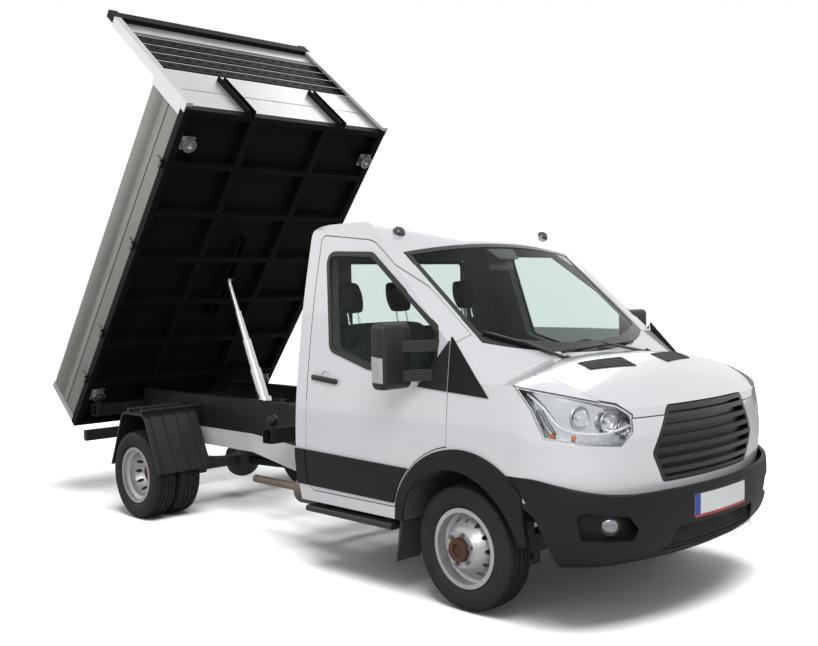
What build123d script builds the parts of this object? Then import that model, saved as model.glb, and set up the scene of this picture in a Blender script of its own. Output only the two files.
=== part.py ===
"""Van-based single-cab truck with a three-way tipping body, raised to the rear.

Millimetres. +X is forward, +Y the truck's left, +Z up. Every piece is first placed with the front
axle over x = 0 and the ground at z = 0. At the end all of them move along X together, so that the
origin lies under the middle of the whole truck's box.
"""

import os
from math import asin, atan2, cos, degrees, hypot, pi, radians, sin, sqrt

from build123d import *

# The whole truck
wheelbase = 3504.0
front_track = 1732.0
twin_track = 1645.0
overrun = 40.0
seat_gap = 0.3
panel_gap = 6.0
cut_reach = 3000.0

# Tyres 195/75 R16 and steel rims 16 x 5.5
tyre_radius = 345.0
tyre_width = 196.0
rim_flange_radius = 220.0
rim_width = 164.0
rim_bead_radius = 203.0
rim_well_radius = 178.0
rim_wall = 7.0
disc_wall = 9.0
disc_hole_radius = 14.0
disc_hole_circle = 152.0
disc_hole_count = 12
twin_spacing = 215.0

# Front hub, brake disc and steering swivel
kingpin_offset = 150.0
hub_radius = 64.0
hub_nose = 52.0
brake_disc_radius = 148.0
brake_disc_width = 26.0
strut_radius = 29.0
spring_radius = 68.0
arm_thickness = 34.0

# Cab body
cab_back = -1375.0
nose_reach = 975.0
cab_half_width = 1025.0
sill_height = 440.0
roof_height = 2212.0
cab_height = roof_height - sill_height
nose_corner_radius = 420.0
nose_front_radius = 2200.0
side_wall = 75.0
back_wall = 45.0
roof_wall = 38.0
skin_wall = 30.0
floor_height = 640.0
floor_wall = 45.0
firewall_place = 110.0
roof_crown_radius = 12000.0
roof_haunch_radius = 1320.0
roof_haunch_height = 1136.0
bonnet_crown_radius = 4500.0
windscreen_bow_radius = 4000.0
glass_wall = 7.0
glass_gap = 2.0
cladding_wall = 14.0
arch_radius = 440.0
arch_trim_radius = 556.0
arch_trim_place = 60.0
wheelhouse_wall = 14.0
wheelhouse_inner = 540.0

# Windscreen line on the cab's middle plane, from its top edge to where it dives under the bonnet
screen_top = (-557.0, 2050.0)
screen_foot = (243.0, 1365.0)

# Cab sections from sill to roof
cab_section_shares = [
    # height, half width, nose reach: each a share of the cab's own
    (0.000, 0.962, 0.955),
    (0.175, 0.998, 0.988),
    (0.290, 0.996, 1.000),
    (0.457, 0.970, 0.950),
    (0.628, 0.930, 0.860),
    (0.910, 0.840, 0.700),
    (1.080, 0.800, 0.600),
]


def block(x0, x1, y0, y1, z0, z1):
    """Plain block between two corners."""
    return Pos((x0 + x1) / 2, (y0 + y1) / 2, (z0 + z1) / 2) * Box(
        abs(x1 - x0), abs(y1 - y0), abs(z1 - z0)
    )


def rod(start, end, radius):
    """Round bar from one point to another."""
    start, end = Vector(*start), Vector(*end)
    return extrude(Plane(start, z_dir=end - start) * Circle(radius), (end - start).length)


def pipe(start, end, radius, wall):
    """Round tube from one point to another."""
    start, end = Vector(*start), Vector(*end)
    ring = Circle(radius) - Circle(radius - wall)
    return extrude(Plane(start, z_dir=end - start) * ring, (end - start).length)


def side_face(rows):
    """Face in the side view from rows of (x, z, corner radius)."""
    points = [(x, 0, z) for x, z, _ in rows]
    return make_face(FilletPolyline(*points, radius=[r for _, _, r in rows], close=True))


def side_solid(rows, y0, y1):
    """Side-view outline carried from y0 to y1."""
    return extrude(Pos(0, y0, 0) * side_face(rows), y1 - y0, dir=(0, 1, 0))


def plan_solid(rows, z0, z1):
    """Plan outline from rows of (x, y, corner radius), carried from z0 to z1."""
    points = [(x, y) for x, y, _ in rows]
    face = make_face(FilletPolyline(*points, radius=[r for _, _, r in rows], close=True))
    return extrude(Pos(0, 0, z0) * face, z1 - z0, dir=(0, 0, 1))


def disc(x, z, radius, y0, y1):
    """Round slug across the truck."""
    return rod((x, y0, z), (x, y1, z), radius)


def both_sides(part):
    """A piece and its mirror image across the truck's middle plane."""
    return part + mirror(part, Plane.XZ)


def revolved(rows, centre_x, centre_y, centre_z):
    """Ring about an axis across the truck, from rows of (across, radius)."""
    points = [(radius, across) for across, radius in rows]
    face = make_face(Polyline(*points, close=True))
    turned = revolve(Plane.XZ * face, Axis.Z)
    return Pos(centre_x, centre_y, centre_z) * Rot(-90, 0, 0) * turned


# Cab outer form: a loft of plan outlines, cut by the bonnet, windscreen and roof surfaces
def cab_outline(half_width, reach, corner):
    """Plan outline: straight sides, a corner arc each side and one shallow arc across the front."""
    centre = reach - nose_front_radius
    across = half_width - corner
    along = sqrt((nose_front_radius - corner) ** 2 - across**2)
    meet_share = nose_front_radius / (nose_front_radius - corner)
    corner_x = centre + along
    meet = (centre + along * meet_share, across * meet_share)
    turn = atan2(across, along)
    middle_turn = (turn + pi / 2) / 2
    mid = (corner_x + corner * cos(middle_turn), across + corner * sin(middle_turn))
    right = [
        Line((cab_back - overrun, -half_width), (corner_x, -half_width)),
        ThreePointArc((corner_x, -half_width), (mid[0], -mid[1]), (meet[0], -meet[1])),
    ]
    front = ThreePointArc((meet[0], -meet[1]), (reach, 0), meet)
    left = [
        ThreePointArc(meet, mid, (corner_x, half_width)),
        Line((corner_x, half_width), (cab_back - overrun, half_width)),
    ]
    back = Line((cab_back - overrun, half_width), (cab_back - overrun, -half_width))
    return make_face(Wire([*right, front, *left, back]))


def cab_envelope(inset):
    """Cab sides and front as one smooth loft, moved inwards by inset."""
    sections = []
    for height_share, width_share, reach_share in cab_section_shares:
        outline = cab_outline(
            cab_half_width * width_share - inset,
            nose_reach * reach_share - inset,
            nose_corner_radius - inset,
        )
        sections.append(Pos(0, 0, sill_height + height_share * cab_height) * outline)
    return loft(sections)


screen_angle = atan2(screen_top[1] - screen_foot[1], screen_foot[0] - screen_top[0])
screen_along = Vector(cos(screen_angle), 0, -sin(screen_angle))
screen_out = Vector(sin(screen_angle), 0, cos(screen_angle))
screen_length = hypot(screen_top[0] - screen_foot[0], screen_top[1] - screen_foot[1])
screen_plane = Plane(
    origin=(screen_top[0], 0, screen_top[1]), x_dir=screen_along, z_dir=screen_out
)

header_share = -0.085
screen_dive_share = 1.34
roof_top_place = -950.0
header = Vector(screen_top[0], 0, screen_top[1]) + screen_along * (screen_length * header_share)
dive = Vector(screen_top[0], 0, screen_top[1]) + screen_along * (screen_length * screen_dive_share)
roof_rear_drop = 38.0
roof_rear_radius = 80.0
roof_top_radius = 1200.0

roof_slope = Vector(header.X - roof_top_place, 0, header.Z - roof_height).normalized()
brow = header + roof_slope * (2 * overrun)
brow_foot = dive + screen_out * (2 * overrun)

greenhouse_rows = [
    # x, z, corner radius
    (cab_back, 0, 0),
    (cab_back, roof_height - roof_rear_drop, roof_rear_radius),
    (roof_top_place, roof_height, roof_top_radius),
    (brow.X, brow.Z, 0),
    (brow_foot.X, brow_foot.Z, 0),
    (brow_foot.X, 0, 0),
]


def greenhouse(inset):
    """Cab space under the roof and behind the windscreen, moved inwards by inset."""
    face = side_face(greenhouse_rows)
    if inset:
        face = offset(face, -inset)
    body = extrude(Pos(0, -cab_half_width, 0) * face, 2 * cab_half_width, dir=(0, 1, 0))
    bow_start = screen_plane.origin - screen_out * windscreen_bow_radius - screen_along * cut_reach
    bow_end = bow_start + screen_along * (2 * cut_reach)
    bow = rod(bow_start, bow_end, windscreen_bow_radius - inset)
    crown_low = roof_height - roof_crown_radius
    crown = rod((-cut_reach, 0, crown_low), (cut_reach, 0, crown_low), roof_crown_radius - inset)
    haunch = rod(
        (-cut_reach, 0, roof_haunch_height), (cut_reach, 0, roof_haunch_height), roof_haunch_radius - inset
    )
    return body & bow & crown & haunch


bonnet_rear = (455.0, 1368.0)
bonnet_middle = (740.0, 1256.0)
bonnet_tip = (1060.0, 1066.0)
bonnet_start = -300.0
bonnet_rear_radius = 250.0
bonnet_middle_radius = 1200.0

nose_rows = [
    # x, z, corner radius
    (bonnet_start, 0, 0),
    (bonnet_start, bonnet_rear[1], 0),
    (*bonnet_rear, bonnet_rear_radius),
    (*bonnet_middle, bonnet_middle_radius),
    (*bonnet_tip, 0),
    (bonnet_tip[0], 0, 0),
]


def nose(inset):
    """Space under the crowned bonnet surface, moved down by inset."""
    face = side_face(nose_rows)
    if inset:
        face = offset(face, -inset)
    low = bonnet_rear[1] - bonnet_crown_radius
    low_radius = bonnet_crown_radius - bonnet_rear[1]
    swing = degrees(asin((cab_half_width + overrun) / low_radius))
    turned = revolve(Pos(0, 0, -low) * face, Axis.X, 2 * swing)
    return Pos(0, 0, low) * Rot(-swing, 0, 0) * turned


def cab_form(inset_side, inset_top):
    """Whole outer form of the cab, moved inwards."""
    body = cab_envelope(inset_side) & (greenhouse(inset_top) + nose(inset_top))
    return body


# Splits between the cab's panels
door_rear = -1268.0
door_front = -42.0
door_foot = 515.0
door_top = 2120.0
door_head = (-765.0, 2062.0)
door_brow = (-142.0, 1616.0)
door_nose_height = 1530.0
door_inner = 800.0
door_corner_radius = 45.0
door_head_radius = 220.0
door_brow_radius = 30.0
door_axis_out = 1046.0
door_axis_place = -52.0

door_rows = [
    # x, z, corner radius
    (door_rear, door_foot, door_corner_radius),
    (door_rear, door_top, door_corner_radius),
    (*door_head, door_head_radius),
    (*door_brow, door_brow_radius),
    (door_front, door_nose_height, door_brow_radius),
    (door_front, door_foot, 0),
]

window_rear_top = (-1176.0, 1998.0)
window_rear_sill = (-1052.0, 1405.0)
window_head = (-762.0, 1976.0)
window_brow = (-150.0, 1536.0)
window_front_sill = 1255.0
window_kink = (-700.0, 1310.0)
window_radius = 40.0
window_head_radius = 120.0

window_rows = [
    # x, z, corner radius
    (*window_rear_sill, 1.5 * window_radius),
    (*window_rear_top, window_radius),
    (*window_head, window_head_radius),
    (*window_brow, window_radius),
    (window_brow[0], window_front_sill, window_radius),
    (*window_kink, 2 * window_radius),
]

bonnet_side = 800.0
bonnet_side_front = 690.0
bonnet_hinge_place = 280.0
bonnet_hinge_height = 1342.0
bonnet_back_side = 385.0
bonnet_front = 1010.0
bonnet_low = 1090.0

gutter_start = 430.0
gutter_end = 620.0
gutter_width = 24.0
gutter_root = 14.0

bonnet_plan_rows = [
    # x, y, corner radius
    (bonnet_back_side, -bonnet_side, skin_wall),
    (bonnet_front, -bonnet_side_front, 0),
    (bonnet_front, bonnet_side_front, 0),
    (bonnet_back_side, bonnet_side, skin_wall),
    (bonnet_rear[0], 0, bonnet_crown_radius / 4),
]

back_window_half = 560.0
back_window_low = 1480.0
back_window_high = 1960.0

screen_half_top = 780.0
screen_half_foot = 778.0
screen_corner_share = 0.78
screen_frame_share = 0.012
screen_foot_share = 0.99

# Headlamp outline, seen along a line 45 degrees out from straight ahead on the truck's right.
# Columns: place across that view, height
lamp_rows = [
    (-410.0, 1262.0),
    (-177.0, 1216.0),
    (100.0, 1158.0),
    (178.0, 1105.0),
    (184.0, 1020.0),
    (120.0, 952.0),
    (-92.0, 972.0),
    (-276.0, 1000.0),
    (-332.0, 1140.0),
]
lamp_turn = 45.0
lamp_start = 800.0
lamp_lens_wall = 5.0
lamp_depth = 90.0
lamp_wall = 12.0

# Grille: hexagon in the front view, rounded bars across it
grille_top = 1134.0
grille_low = 742.0
grille_widest = 900.0
grille_half_top = 378.0
grille_half_widest = 512.0
grille_half_low = 425.0
grille_corner_radius = 38.0
grille_frame = 26.0
grille_bar_count = 6
grille_bar_height = 26.0
grille_depth = 46.0

# Bumper
bumper_sections = [
    # height, half width, nose reach
    (345.0, 950.0, 905.0),
    (420.0, 985.0, 985.0),
    (560.0, 1018.0, 1018.0),
    (690.0, 1028.0, 1018.0),
    (830.0, 1026.0, 985.0),
]
bumper_wall = 26.0
bumper_top_side = 800.0
bumper_top_front = 712.0
intake_half_top = 385.0
intake_half_low = 440.0
intake_top = 515.0
intake_low = 394.0
fog_depth = 72.0
fog_wall = 6.0

# Fog lamp recess, seen along the headlamp's line of view. Columns: place across, height
fog_rows = [
    (-130.0, 630.0),
    (-85.0, 647.0),
    (142.0, 608.0),
    (196.0, 538.0),
    (165.0, 484.0),
    (-106.0, 502.0),
]
fog_radius = 20.0


def corner_prism(face, start):
    """Outline seen along the headlamp's line of view, carried outwards from a place along it."""
    turn = radians(lamp_turn)
    out = Vector(sin(turn), -cos(turn), 0)
    view = Plane(origin=out * start, x_dir=(cos(turn), sin(turn), 0), z_dir=out)
    return extrude(view * face, cut_reach / 2)


def lamp_prism(grow):
    """Headlamp outline of the right side, grown all round and carried out through the skin."""
    face = make_face(Polyline(*lamp_rows, close=True))
    if grow:
        face = offset(face, grow)
    return corner_prism(face, lamp_start)


def fog_prism(grow):
    """Fog lamp recess of the right side, grown all round and carried out through the bumper."""
    face = make_face(FilletPolyline(*fog_rows, radius=fog_radius, close=True))
    if grow:
        face = offset(face, grow)
    return corner_prism(face, lamp_start)


def grille_face(shrink):
    """Hexagon of the grille in the front view."""
    rows = [
        (-grille_half_low, grille_low),
        (-grille_half_widest, grille_widest),
        (-grille_half_top, grille_top),
        (grille_half_top, grille_top),
        (grille_half_widest, grille_widest),
        (grille_half_low, grille_low),
    ]
    face = make_face(FilletPolyline(*rows, radius=grille_corner_radius, close=True))
    return offset(face, -shrink) if shrink else face


def front_prism(face, start):
    """Front-view face carried forward from x = start."""
    view = Plane(origin=(start, 0, 0), x_dir=(0, 1, 0), z_dir=(1, 0, 0))
    return extrude(view * face, cut_reach / 2)


def screen_prism(shrink):
    """Windscreen outline carried through the shell, square to the glass."""
    top = screen_length * screen_frame_share
    corner = screen_length * screen_corner_share
    foot = screen_length * screen_foot_share
    left = Line((top, screen_half_top), (corner, screen_half_foot))
    low = ThreePointArc((corner, screen_half_foot), (foot, 0), (corner, -screen_half_foot))
    right = Line((corner, -screen_half_foot), (top, -screen_half_top))
    high = Line((top, -screen_half_top), (top, screen_half_top))
    face = make_face(Wire([left, low, right, high]))
    if shrink:
        face = offset(face, -shrink)
    return extrude(screen_plane * face, 2 * side_wall, both=True)


def back_window(shrink):
    """Rear window outline carried through the cab's back wall."""
    return block(
        cab_back - overrun,
        cab_back + 2 * back_wall,
        -back_window_half + shrink,
        back_window_half - shrink,
        back_window_low + shrink,
        back_window_high - shrink,
    )


def door_prism(grow):
    """Door outline of the left side, with the wheel arch's trim cut out of its front foot."""
    face = side_face(door_rows)
    if grow:
        face = offset(face, grow)
    arch = Pos(arch_trim_place, 0, tyre_radius) * Rot(90, 0, 0) * Circle(
        arch_trim_radius + cladding_wall - grow
    )
    body = extrude(Pos(0, door_inner - grow, 0) * (face - arch), cab_half_width, dir=(0, 1, 0))
    return body


cab_outer = cab_form(0, 0)
cab_middle = cab_envelope(side_wall)
roof_inside = greenhouse(roof_wall)
nose_inside = nose(skin_wall)
skin_inside = cab_envelope(skin_wall)

cabin_rows = [
    # x, z, corner radius
    (cab_back + back_wall, floor_height, 0),
    (cab_back + back_wall, roof_height, 0),
    (brow_foot.X, roof_height, 0),
    (brow_foot.X, screen_foot[1] - side_wall, 0),
    (firewall_place, screen_foot[1] - 2 * side_wall, 0),
    (firewall_place, floor_height + 2 * side_wall, 0),
    (firewall_place - 2 * side_wall, floor_height, 0),
]
wheelhouse_out = cab_half_width + overrun
wheelhouse = disc(0, tyre_radius, arch_radius, wheelhouse_inner, wheelhouse_out)
wheelhouse_shell = disc(
    0, tyre_radius, arch_radius + wheelhouse_wall, wheelhouse_inner - wheelhouse_wall, wheelhouse_out
)
wheelhouses = both_sides(wheelhouse)
wheelhouse_shells = both_sides(wheelhouse_shell)

cabin = cab_middle & roof_inside & side_solid(cabin_rows, -cab_half_width, cab_half_width)
cabin = cabin - wheelhouse_shells
bay = skin_inside & nose_inside & block(
    firewall_place + side_wall, bonnet_tip[0], -cab_half_width, cab_half_width, 0, roof_height
)
bay = bay - wheelhouse_shells
under = block(
    cab_back - overrun,
    firewall_place + side_wall + overrun,
    -cab_half_width + 3 * side_wall,
    cab_half_width - 3 * side_wall,
    0,
    floor_height - floor_wall,
) - wheelhouse_shells
nose_foot = block(
    arch_radius / 2, nose_reach + overrun, -cab_half_width, cab_half_width, 0, bumper_top_front - overrun
)


def bonnet_side_rows(grow):
    """Block between the bonnet's side edges, moved outwards, over the stretch the gutter runs."""
    edge = (bonnet_side - bonnet_side_front) / (bonnet_front - bonnet_back_side)
    rear_half = bonnet_side - edge * (gutter_start - bonnet_back_side) + grow
    front_half = bonnet_side - edge * (gutter_end - bonnet_back_side) + grow
    rows = [
        (gutter_start, -rear_half, 0),
        (gutter_end, -front_half, 0),
        (gutter_end, front_half, 0),
        (gutter_start, rear_half, 0),
    ]
    return plan_solid(rows, bonnet_low, roof_height)


door_cut = both_sides(door_prism(panel_gap / 2))
bonnet_prism = plan_solid(bonnet_plan_rows, bonnet_low, roof_height)
bonnet_cut = plan_solid(
    [
        (bonnet_back_side - panel_gap, -bonnet_side - panel_gap, skin_wall),
        (bonnet_front + panel_gap, -bonnet_side_front - panel_gap, 0),
        (bonnet_front + panel_gap, bonnet_side_front + panel_gap, 0),
        (bonnet_back_side - panel_gap, bonnet_side + panel_gap, skin_wall),
        (bonnet_rear[0] - panel_gap, 0, bonnet_crown_radius / 4),
    ],
    bonnet_low - panel_gap,
    roof_height,
)
lamp_cut = lamp_prism(0)
lamp_cut = lamp_cut + mirror(lamp_cut, Plane.XZ)
grille_cut = front_prism(grille_face(0), nose_reach - 4 * skin_wall)

# Gutter under the bonnet's side edges: a flange on the shell that the closed bonnet rests on
gutter_inner = bonnet_side_rows(-gutter_width)
gutter_outer = bonnet_side_rows(gutter_root)
gutter_root_start = bonnet_side_rows(panel_gap)
gutter_top = cab_envelope(skin_wall + seat_gap) & nose(skin_wall + seat_gap)
gutter_low = cab_envelope(2 * skin_wall) & nose(2 * skin_wall)
gutter = ((gutter_top - gutter_low) & (gutter_outer - gutter_inner)) + (
    (cab_envelope(skin_wall / 2) & nose(skin_wall / 2) & (gutter_outer - gutter_root_start)) - gutter_low
)

panels = cab_outer - cabin - bay
windows = both_sides(side_solid(window_rows, cab_half_width / 2, cab_half_width))
door_left = (panels & door_prism(-panel_gap / 2)) - windows
bonnet = (panels & bonnet_prism) - both_sides(lamp_prism(panel_gap))
bonnet = bonnet - front_prism(grille_face(-panel_gap / 2), nose_reach - 4 * skin_wall)
shell = panels - door_cut - bonnet_cut - wheelhouses - under - nose_foot - lamp_cut - grille_cut
shell = shell - screen_prism(0) - back_window(0) + (gutter - lamp_cut)

pieces = {}
pieces["cab_shell"] = shell
pieces["door_left"] = door_left
pieces["door_right"] = mirror(door_left, Plane.XZ)
pieces["bonnet"] = bonnet

# Glass
glass_skin = cab_outer - (cab_envelope(glass_wall) & (greenhouse(glass_wall) + nose(glass_wall)))
door_glass = glass_skin & side_solid(window_rows, cab_half_width / 2, cab_half_width)
pieces["cab_glass"] = (glass_skin & screen_prism(seat_gap)) + (glass_skin & back_window(seat_gap))
pieces["door_glass_left"] = door_glass
pieces["door_glass_right"] = mirror(door_glass, Plane.XZ)

# Cladding: a band along each door and sill, and a ring round each front arch
band_rows = [
    # x, z, corner radius
    (cab_back, 549.0, 12.0),
    (cab_back, 775.0, 12.0),
    (0, 748.0, 0),
    (0, 536.0, 0),
]
cladding_skin = cab_envelope(-cladding_wall) - cab_envelope(-seat_gap)
left_half = block(cab_back, nose_reach, 0, cab_half_width + overrun, 0, roof_height)
band = cladding_skin & side_solid(band_rows, 0, cab_half_width + overrun)
arch_full = disc(arch_trim_place, tyre_radius, arch_trim_radius, 0, cab_half_width + overrun)
arch_open = disc(0, tyre_radius, arch_radius, 0, cab_half_width + overrun)
arch_low = block(
    cab_back, nose_reach, 0, cab_half_width + overrun, sill_height, arch_trim_place + 2 * arch_trim_radius
)
bumper_start = 480.0
before_bumper = block(cab_back, bumper_start, 0, cab_half_width + overrun, 0, roof_height)
arch_ring = (cladding_skin & arch_full & arch_low & before_bumper) - arch_open
band_on_door = band & door_prism(-panel_gap)
band_behind = band & block(cab_back, door_rear - panel_gap, 0, cab_half_width + overrun, 0, roof_height)
pieces["cab_cladding"] = both_sides(arch_ring + band_behind)
pieces["door_cladding_left"] = band_on_door
pieces["door_cladding_right"] = mirror(band_on_door, Plane.XZ)

# Grille: frame and bars that follow the nose's curve
grille_skin = cab_envelope(glass_gap) - cab_envelope(grille_depth)
grille_body = grille_skin & front_prism(grille_face(panel_gap / 2), nose_reach - 4 * skin_wall)
grille_hole = front_prism(grille_face(grille_frame), nose_reach - 4 * skin_wall)
grille_bars = grille_body & grille_hole
bar_pitch = (grille_top - grille_low) / (grille_bar_count + 1)
bar_band = block(0, 0 + nose_reach, -cab_half_width, cab_half_width, 0, grille_bar_height)
bar_set = [
    Pos(0, 0, grille_low + (k + 1) * bar_pitch - grille_bar_height / 2) * bar_band
    for k in range(grille_bar_count)
]
grille_back = front_prism(grille_face(panel_gap / 2), nose_reach - 4 * skin_wall) & (
    cab_envelope(grille_depth - panel_gap) - cab_envelope(grille_depth)
)
pieces["grille"] = (grille_body - grille_hole) + grille_back + [grille_bars & b for b in bar_set]

# Headlamps: a cup with its open face behind a clear lens
lamp_body = lamp_prism(-seat_gap)
lens = (cab_envelope(glass_gap) - cab_envelope(glass_gap + lamp_lens_wall)) & nose(0) & lamp_body
cup_out = (cab_envelope(glass_gap + lamp_lens_wall + seat_gap) - cab_envelope(lamp_depth)) & nose(
    lamp_lens_wall
) & lamp_body
cup_in = (cab_envelope(0) - cab_envelope(lamp_depth - lamp_wall)) & lamp_prism(-lamp_wall)
cup = cup_out - cup_in
pieces["headlamp_lenses"] = both_sides(lens)
pieces["headlamp_cups"] = both_sides(cup)


# Bumper: a loft like the cab's front, hollow behind, cut round the wheel arches and under the grille
def bumper_envelope(inset):
    """Bumper's outer form, moved inwards by inset."""
    sections = []
    for height, half_width, reach in bumper_sections:
        outline = cab_outline(half_width - inset, reach - inset, nose_corner_radius - inset)
        sections.append(Pos(0, 0, height) * outline)
    return loft(sections)


bumper_rows = [
    # x, z, corner radius
    (0, bumper_sections[0][0], 0),
    (0, bumper_top_side, 0),
    (bumper_start + 2 * overrun, bumper_top_side, nose_corner_radius),
    (nose_reach - 2 * overrun, bumper_top_front, 0),
    (nose_reach + 2 * overrun, bumper_top_front, 0),
    (nose_reach + 2 * overrun, bumper_sections[0][0], 0),
]
bumper_side = side_solid(bumper_rows, -cab_half_width - overrun, cab_half_width + overrun)
bumper_arches = both_sides(
    disc(arch_trim_place, tyre_radius, arch_trim_radius + panel_gap / 2, wheelhouse_inner, wheelhouse_out)
)
bumper_back = block(
    0, arch_trim_place + arch_trim_radius / 2, -wheelhouse_out, wheelhouse_out, 0, roof_height
)
intake_rows = [
    (-intake_half_low, intake_low),
    (-intake_half_top, intake_top),
    (intake_half_top, intake_top),
    (intake_half_low, intake_low),
]
intake = front_prism(make_face(Polyline(*intake_rows, close=True)), nose_reach - 4 * skin_wall)
fogs = both_sides(fog_prism(0))
fog_cup = ((bumper_envelope(bumper_wall / 2) - bumper_envelope(fog_depth)) & fog_prism(fog_wall)) - (
    fog_prism(0) - bumper_envelope(fog_depth - fog_wall)
)
bumper = (bumper_envelope(0) - bumper_envelope(bumper_wall)) & bumper_side
bumper = bumper - bumper_arches - bumper_back - intake - fogs - cab_envelope(-seat_gap)
bumper_floor = (bumper_envelope(bumper_wall) & block(
    arch_radius + overrun, nose_reach, -cab_half_width, cab_half_width,
    bumper_sections[0][0], bumper_sections[0][0] + bumper_wall,
)) - bumper_arches
pieces["front_bumper"] = bumper + bumper_floor + both_sides(fog_cup - bumper_arches)

# Seats, dashboard and steering wheel
seat_cushion = (520.0, 130.0)
seat_back_height = 640.0
seat_back_wall = 120.0
seat_rows = [
    # middle across, width
    (430.0, 500.0),
    (-435.0, 880.0),
]
seat_place = -773.0
seat_height = 980.0
headrest = (80.0, 190.0, 205.0)
headrest_gap = 62.0
headrest_middles = [430.0, -220.0, -650.0]
seat_lean = 14.0
base_height = 110.0
dash_reach = 360.0
dash_low = 950.0
dash_shares = (0.55, 2.4, 0.7)
steering_wheel_radius = 195.0
steering_rim_radius = 15.0
spoke_turns = (0, 120, 240)
spoke_width = 24.0
steering_place = (-262.0, 430.0, 1240.0)
steering_lean = 62.0
column_radius = 32.0
column_length = 210.0
steering_hub_radius = 70.0

seat_parts = []
for middle, width in seat_rows:
    cushion = Box(seat_cushion[0], width, seat_cushion[1])
    cushion = fillet(cushion.edges(), seat_cushion[1] / 4)
    back = Box(seat_back_wall, width, seat_back_height)
    back = fillet(back.edges(), seat_back_wall / 4)
    lean = Pos(seat_place - seat_cushion[0] / 2, middle, seat_height) * Rot(0, -seat_lean, 0)
    seat_parts.append(Pos(seat_place, middle, seat_height - seat_cushion[1] / 2) * cushion)
    seat_parts.append(lean * Pos(-seat_back_wall / 4, 0, seat_back_height / 2 - overrun) * back)
    seat_parts.append(
        block(
            seat_place - seat_cushion[0] / 3,
            seat_place + seat_cushion[0] / 3,
            middle - width / 3,
            middle + width / 3,
            floor_height + seat_gap,
            seat_height - seat_cushion[1] - seat_gap,
        )
    )
for middle in headrest_middles:
    rest = Box(*headrest)
    rest = fillet(rest.edges(), headrest[0] / 3)
    lean = Pos(seat_place - seat_cushion[0] / 2, middle, seat_height) * Rot(0, -seat_lean, 0)
    top = seat_back_height - overrun + headrest_gap + headrest[2] / 2
    seat_parts.append(lean * Pos(-seat_back_wall / 4, 0, top) * rest)
    stalk = rod(
        (-seat_back_wall / 4, 0, seat_back_height - overrun),
        (-seat_back_wall / 4, 0, top),
        headrest[0] / 8,
    )
    seat_parts.append(lean * stalk)
seats = seat_parts[0]
for item in seat_parts[1:]:
    seats = seats + item
pieces["seats"] = seats

dash_rows = [
    # x, z, corner radius
    (firewall_place - seat_gap, dash_low, 0),
    (firewall_place - seat_gap, screen_foot[1] - 2 * side_wall - seat_gap, 0),
    (firewall_place + overrun, screen_foot[1] - 2 * side_wall + overrun, 0),
    (firewall_place - dash_reach * dash_shares[0], screen_foot[1] - side_wall, overrun),
    (firewall_place - dash_reach, screen_foot[1] - dash_shares[1] * side_wall, overrun),
    (firewall_place - dash_reach * dash_shares[2], dash_low, overrun),
]
dashboard = cab_envelope(side_wall + glass_gap) & side_solid(dash_rows, -cab_half_width, cab_half_width)
dashboard = dashboard - both_sides(door_prism(2 * panel_gap))
wheel_spot = Vector(*steering_place)
wheel_turn = radians(steering_lean)
column_way = Vector(-sin(wheel_turn), 0, cos(wheel_turn)) * -1
column_start = wheel_spot + column_way * (steering_rim_radius + seat_gap)
column = rod(column_start, column_start + column_way * column_length, column_radius)
pieces["dashboard"] = (dashboard - column) + column
steering_ring = Torus(steering_wheel_radius - steering_rim_radius, steering_rim_radius)
hub = Cylinder(steering_hub_radius, 2 * steering_rim_radius)
spokes = hub
for turn in spoke_turns:
    spoke = Pos(0, 0, 0) * Rot(0, 0, turn - 90) * Pos(steering_wheel_radius / 2, 0, 0)
    spokes = spokes + spoke * Box(
        steering_wheel_radius - steering_rim_radius, spoke_width, steering_rim_radius
    )
wheel_plane = Plane(origin=wheel_spot, x_dir=(0, 1, 0), z_dir=(-sin(wheel_turn), 0, cos(wheel_turn)))
pieces["steering_wheel"] = wheel_plane * (spokes + steering_ring)

# Chassis rails and cross members
rail_outer = 475.0
rail_flange = 72.0
rail_wall = 8.0
rail_end = -4560.0
rail_start = 640.0
rail_kick_start = -2130.0
rail_low = 461.0
rail_top = 645.0
rail_rear_low = 545.0
rail_rear_top = 685.0
rail_kick = 520.0
cross_radius = 42.0
cross_rows = [
    # x, height
    (-1650.0, 518.0),
    (-2500.0, 598.0),
    (-2860.0, 615.0),
    (-3990.0, 615.0),
    (-4500.0, 615.0),
]
pad_places = [-1290.0, -620.0, 60.0]
pad_size = 60.0

rail_rows = [
    # x, z, corner radius
    (rail_start, rail_low, 0),
    (rail_kick_start, rail_low, 0),
    (rail_kick_start - rail_kick, rail_rear_low, 0),
    (rail_end, rail_rear_low, 0),
    (rail_end, rail_rear_top, 0),
    (rail_kick_start - rail_kick, rail_rear_top, 0),
    (rail_kick_start, rail_top, 0),
    (rail_kick_start + rail_kick, floor_height - floor_wall - 3 * rail_wall, 0),
    (rail_start, floor_height - floor_wall - 3 * rail_wall, 0),
]
rail_face = side_face(rail_rows)
rail = extrude(Pos(0, rail_outer - rail_flange, 0) * rail_face, rail_flange, dir=(0, 1, 0))
hollow_face = Pos(0, rail_outer - rail_flange, 0) * offset(rail_face, -rail_wall)
hollow = extrude(hollow_face, rail_flange - rail_wall, dir=(0, 1, 0))
rails = both_sides(rail - hollow)
for place, height in cross_rows:
    rails = rails + rod(
        (place, -rail_outer + rail_wall, height), (place, rail_outer - rail_wall, height), cross_radius
    )
rail_front_top = floor_height - floor_wall - 3 * rail_wall
for place in pad_places:
    pad = block(
        place - pad_size / 2, place + pad_size / 2,
        rail_outer - pad_size, rail_outer, rail_front_top, floor_height - floor_wall - seat_gap,
    )
    rails = rails + both_sides(pad)
pieces["chassis_rails"] = rails

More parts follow.
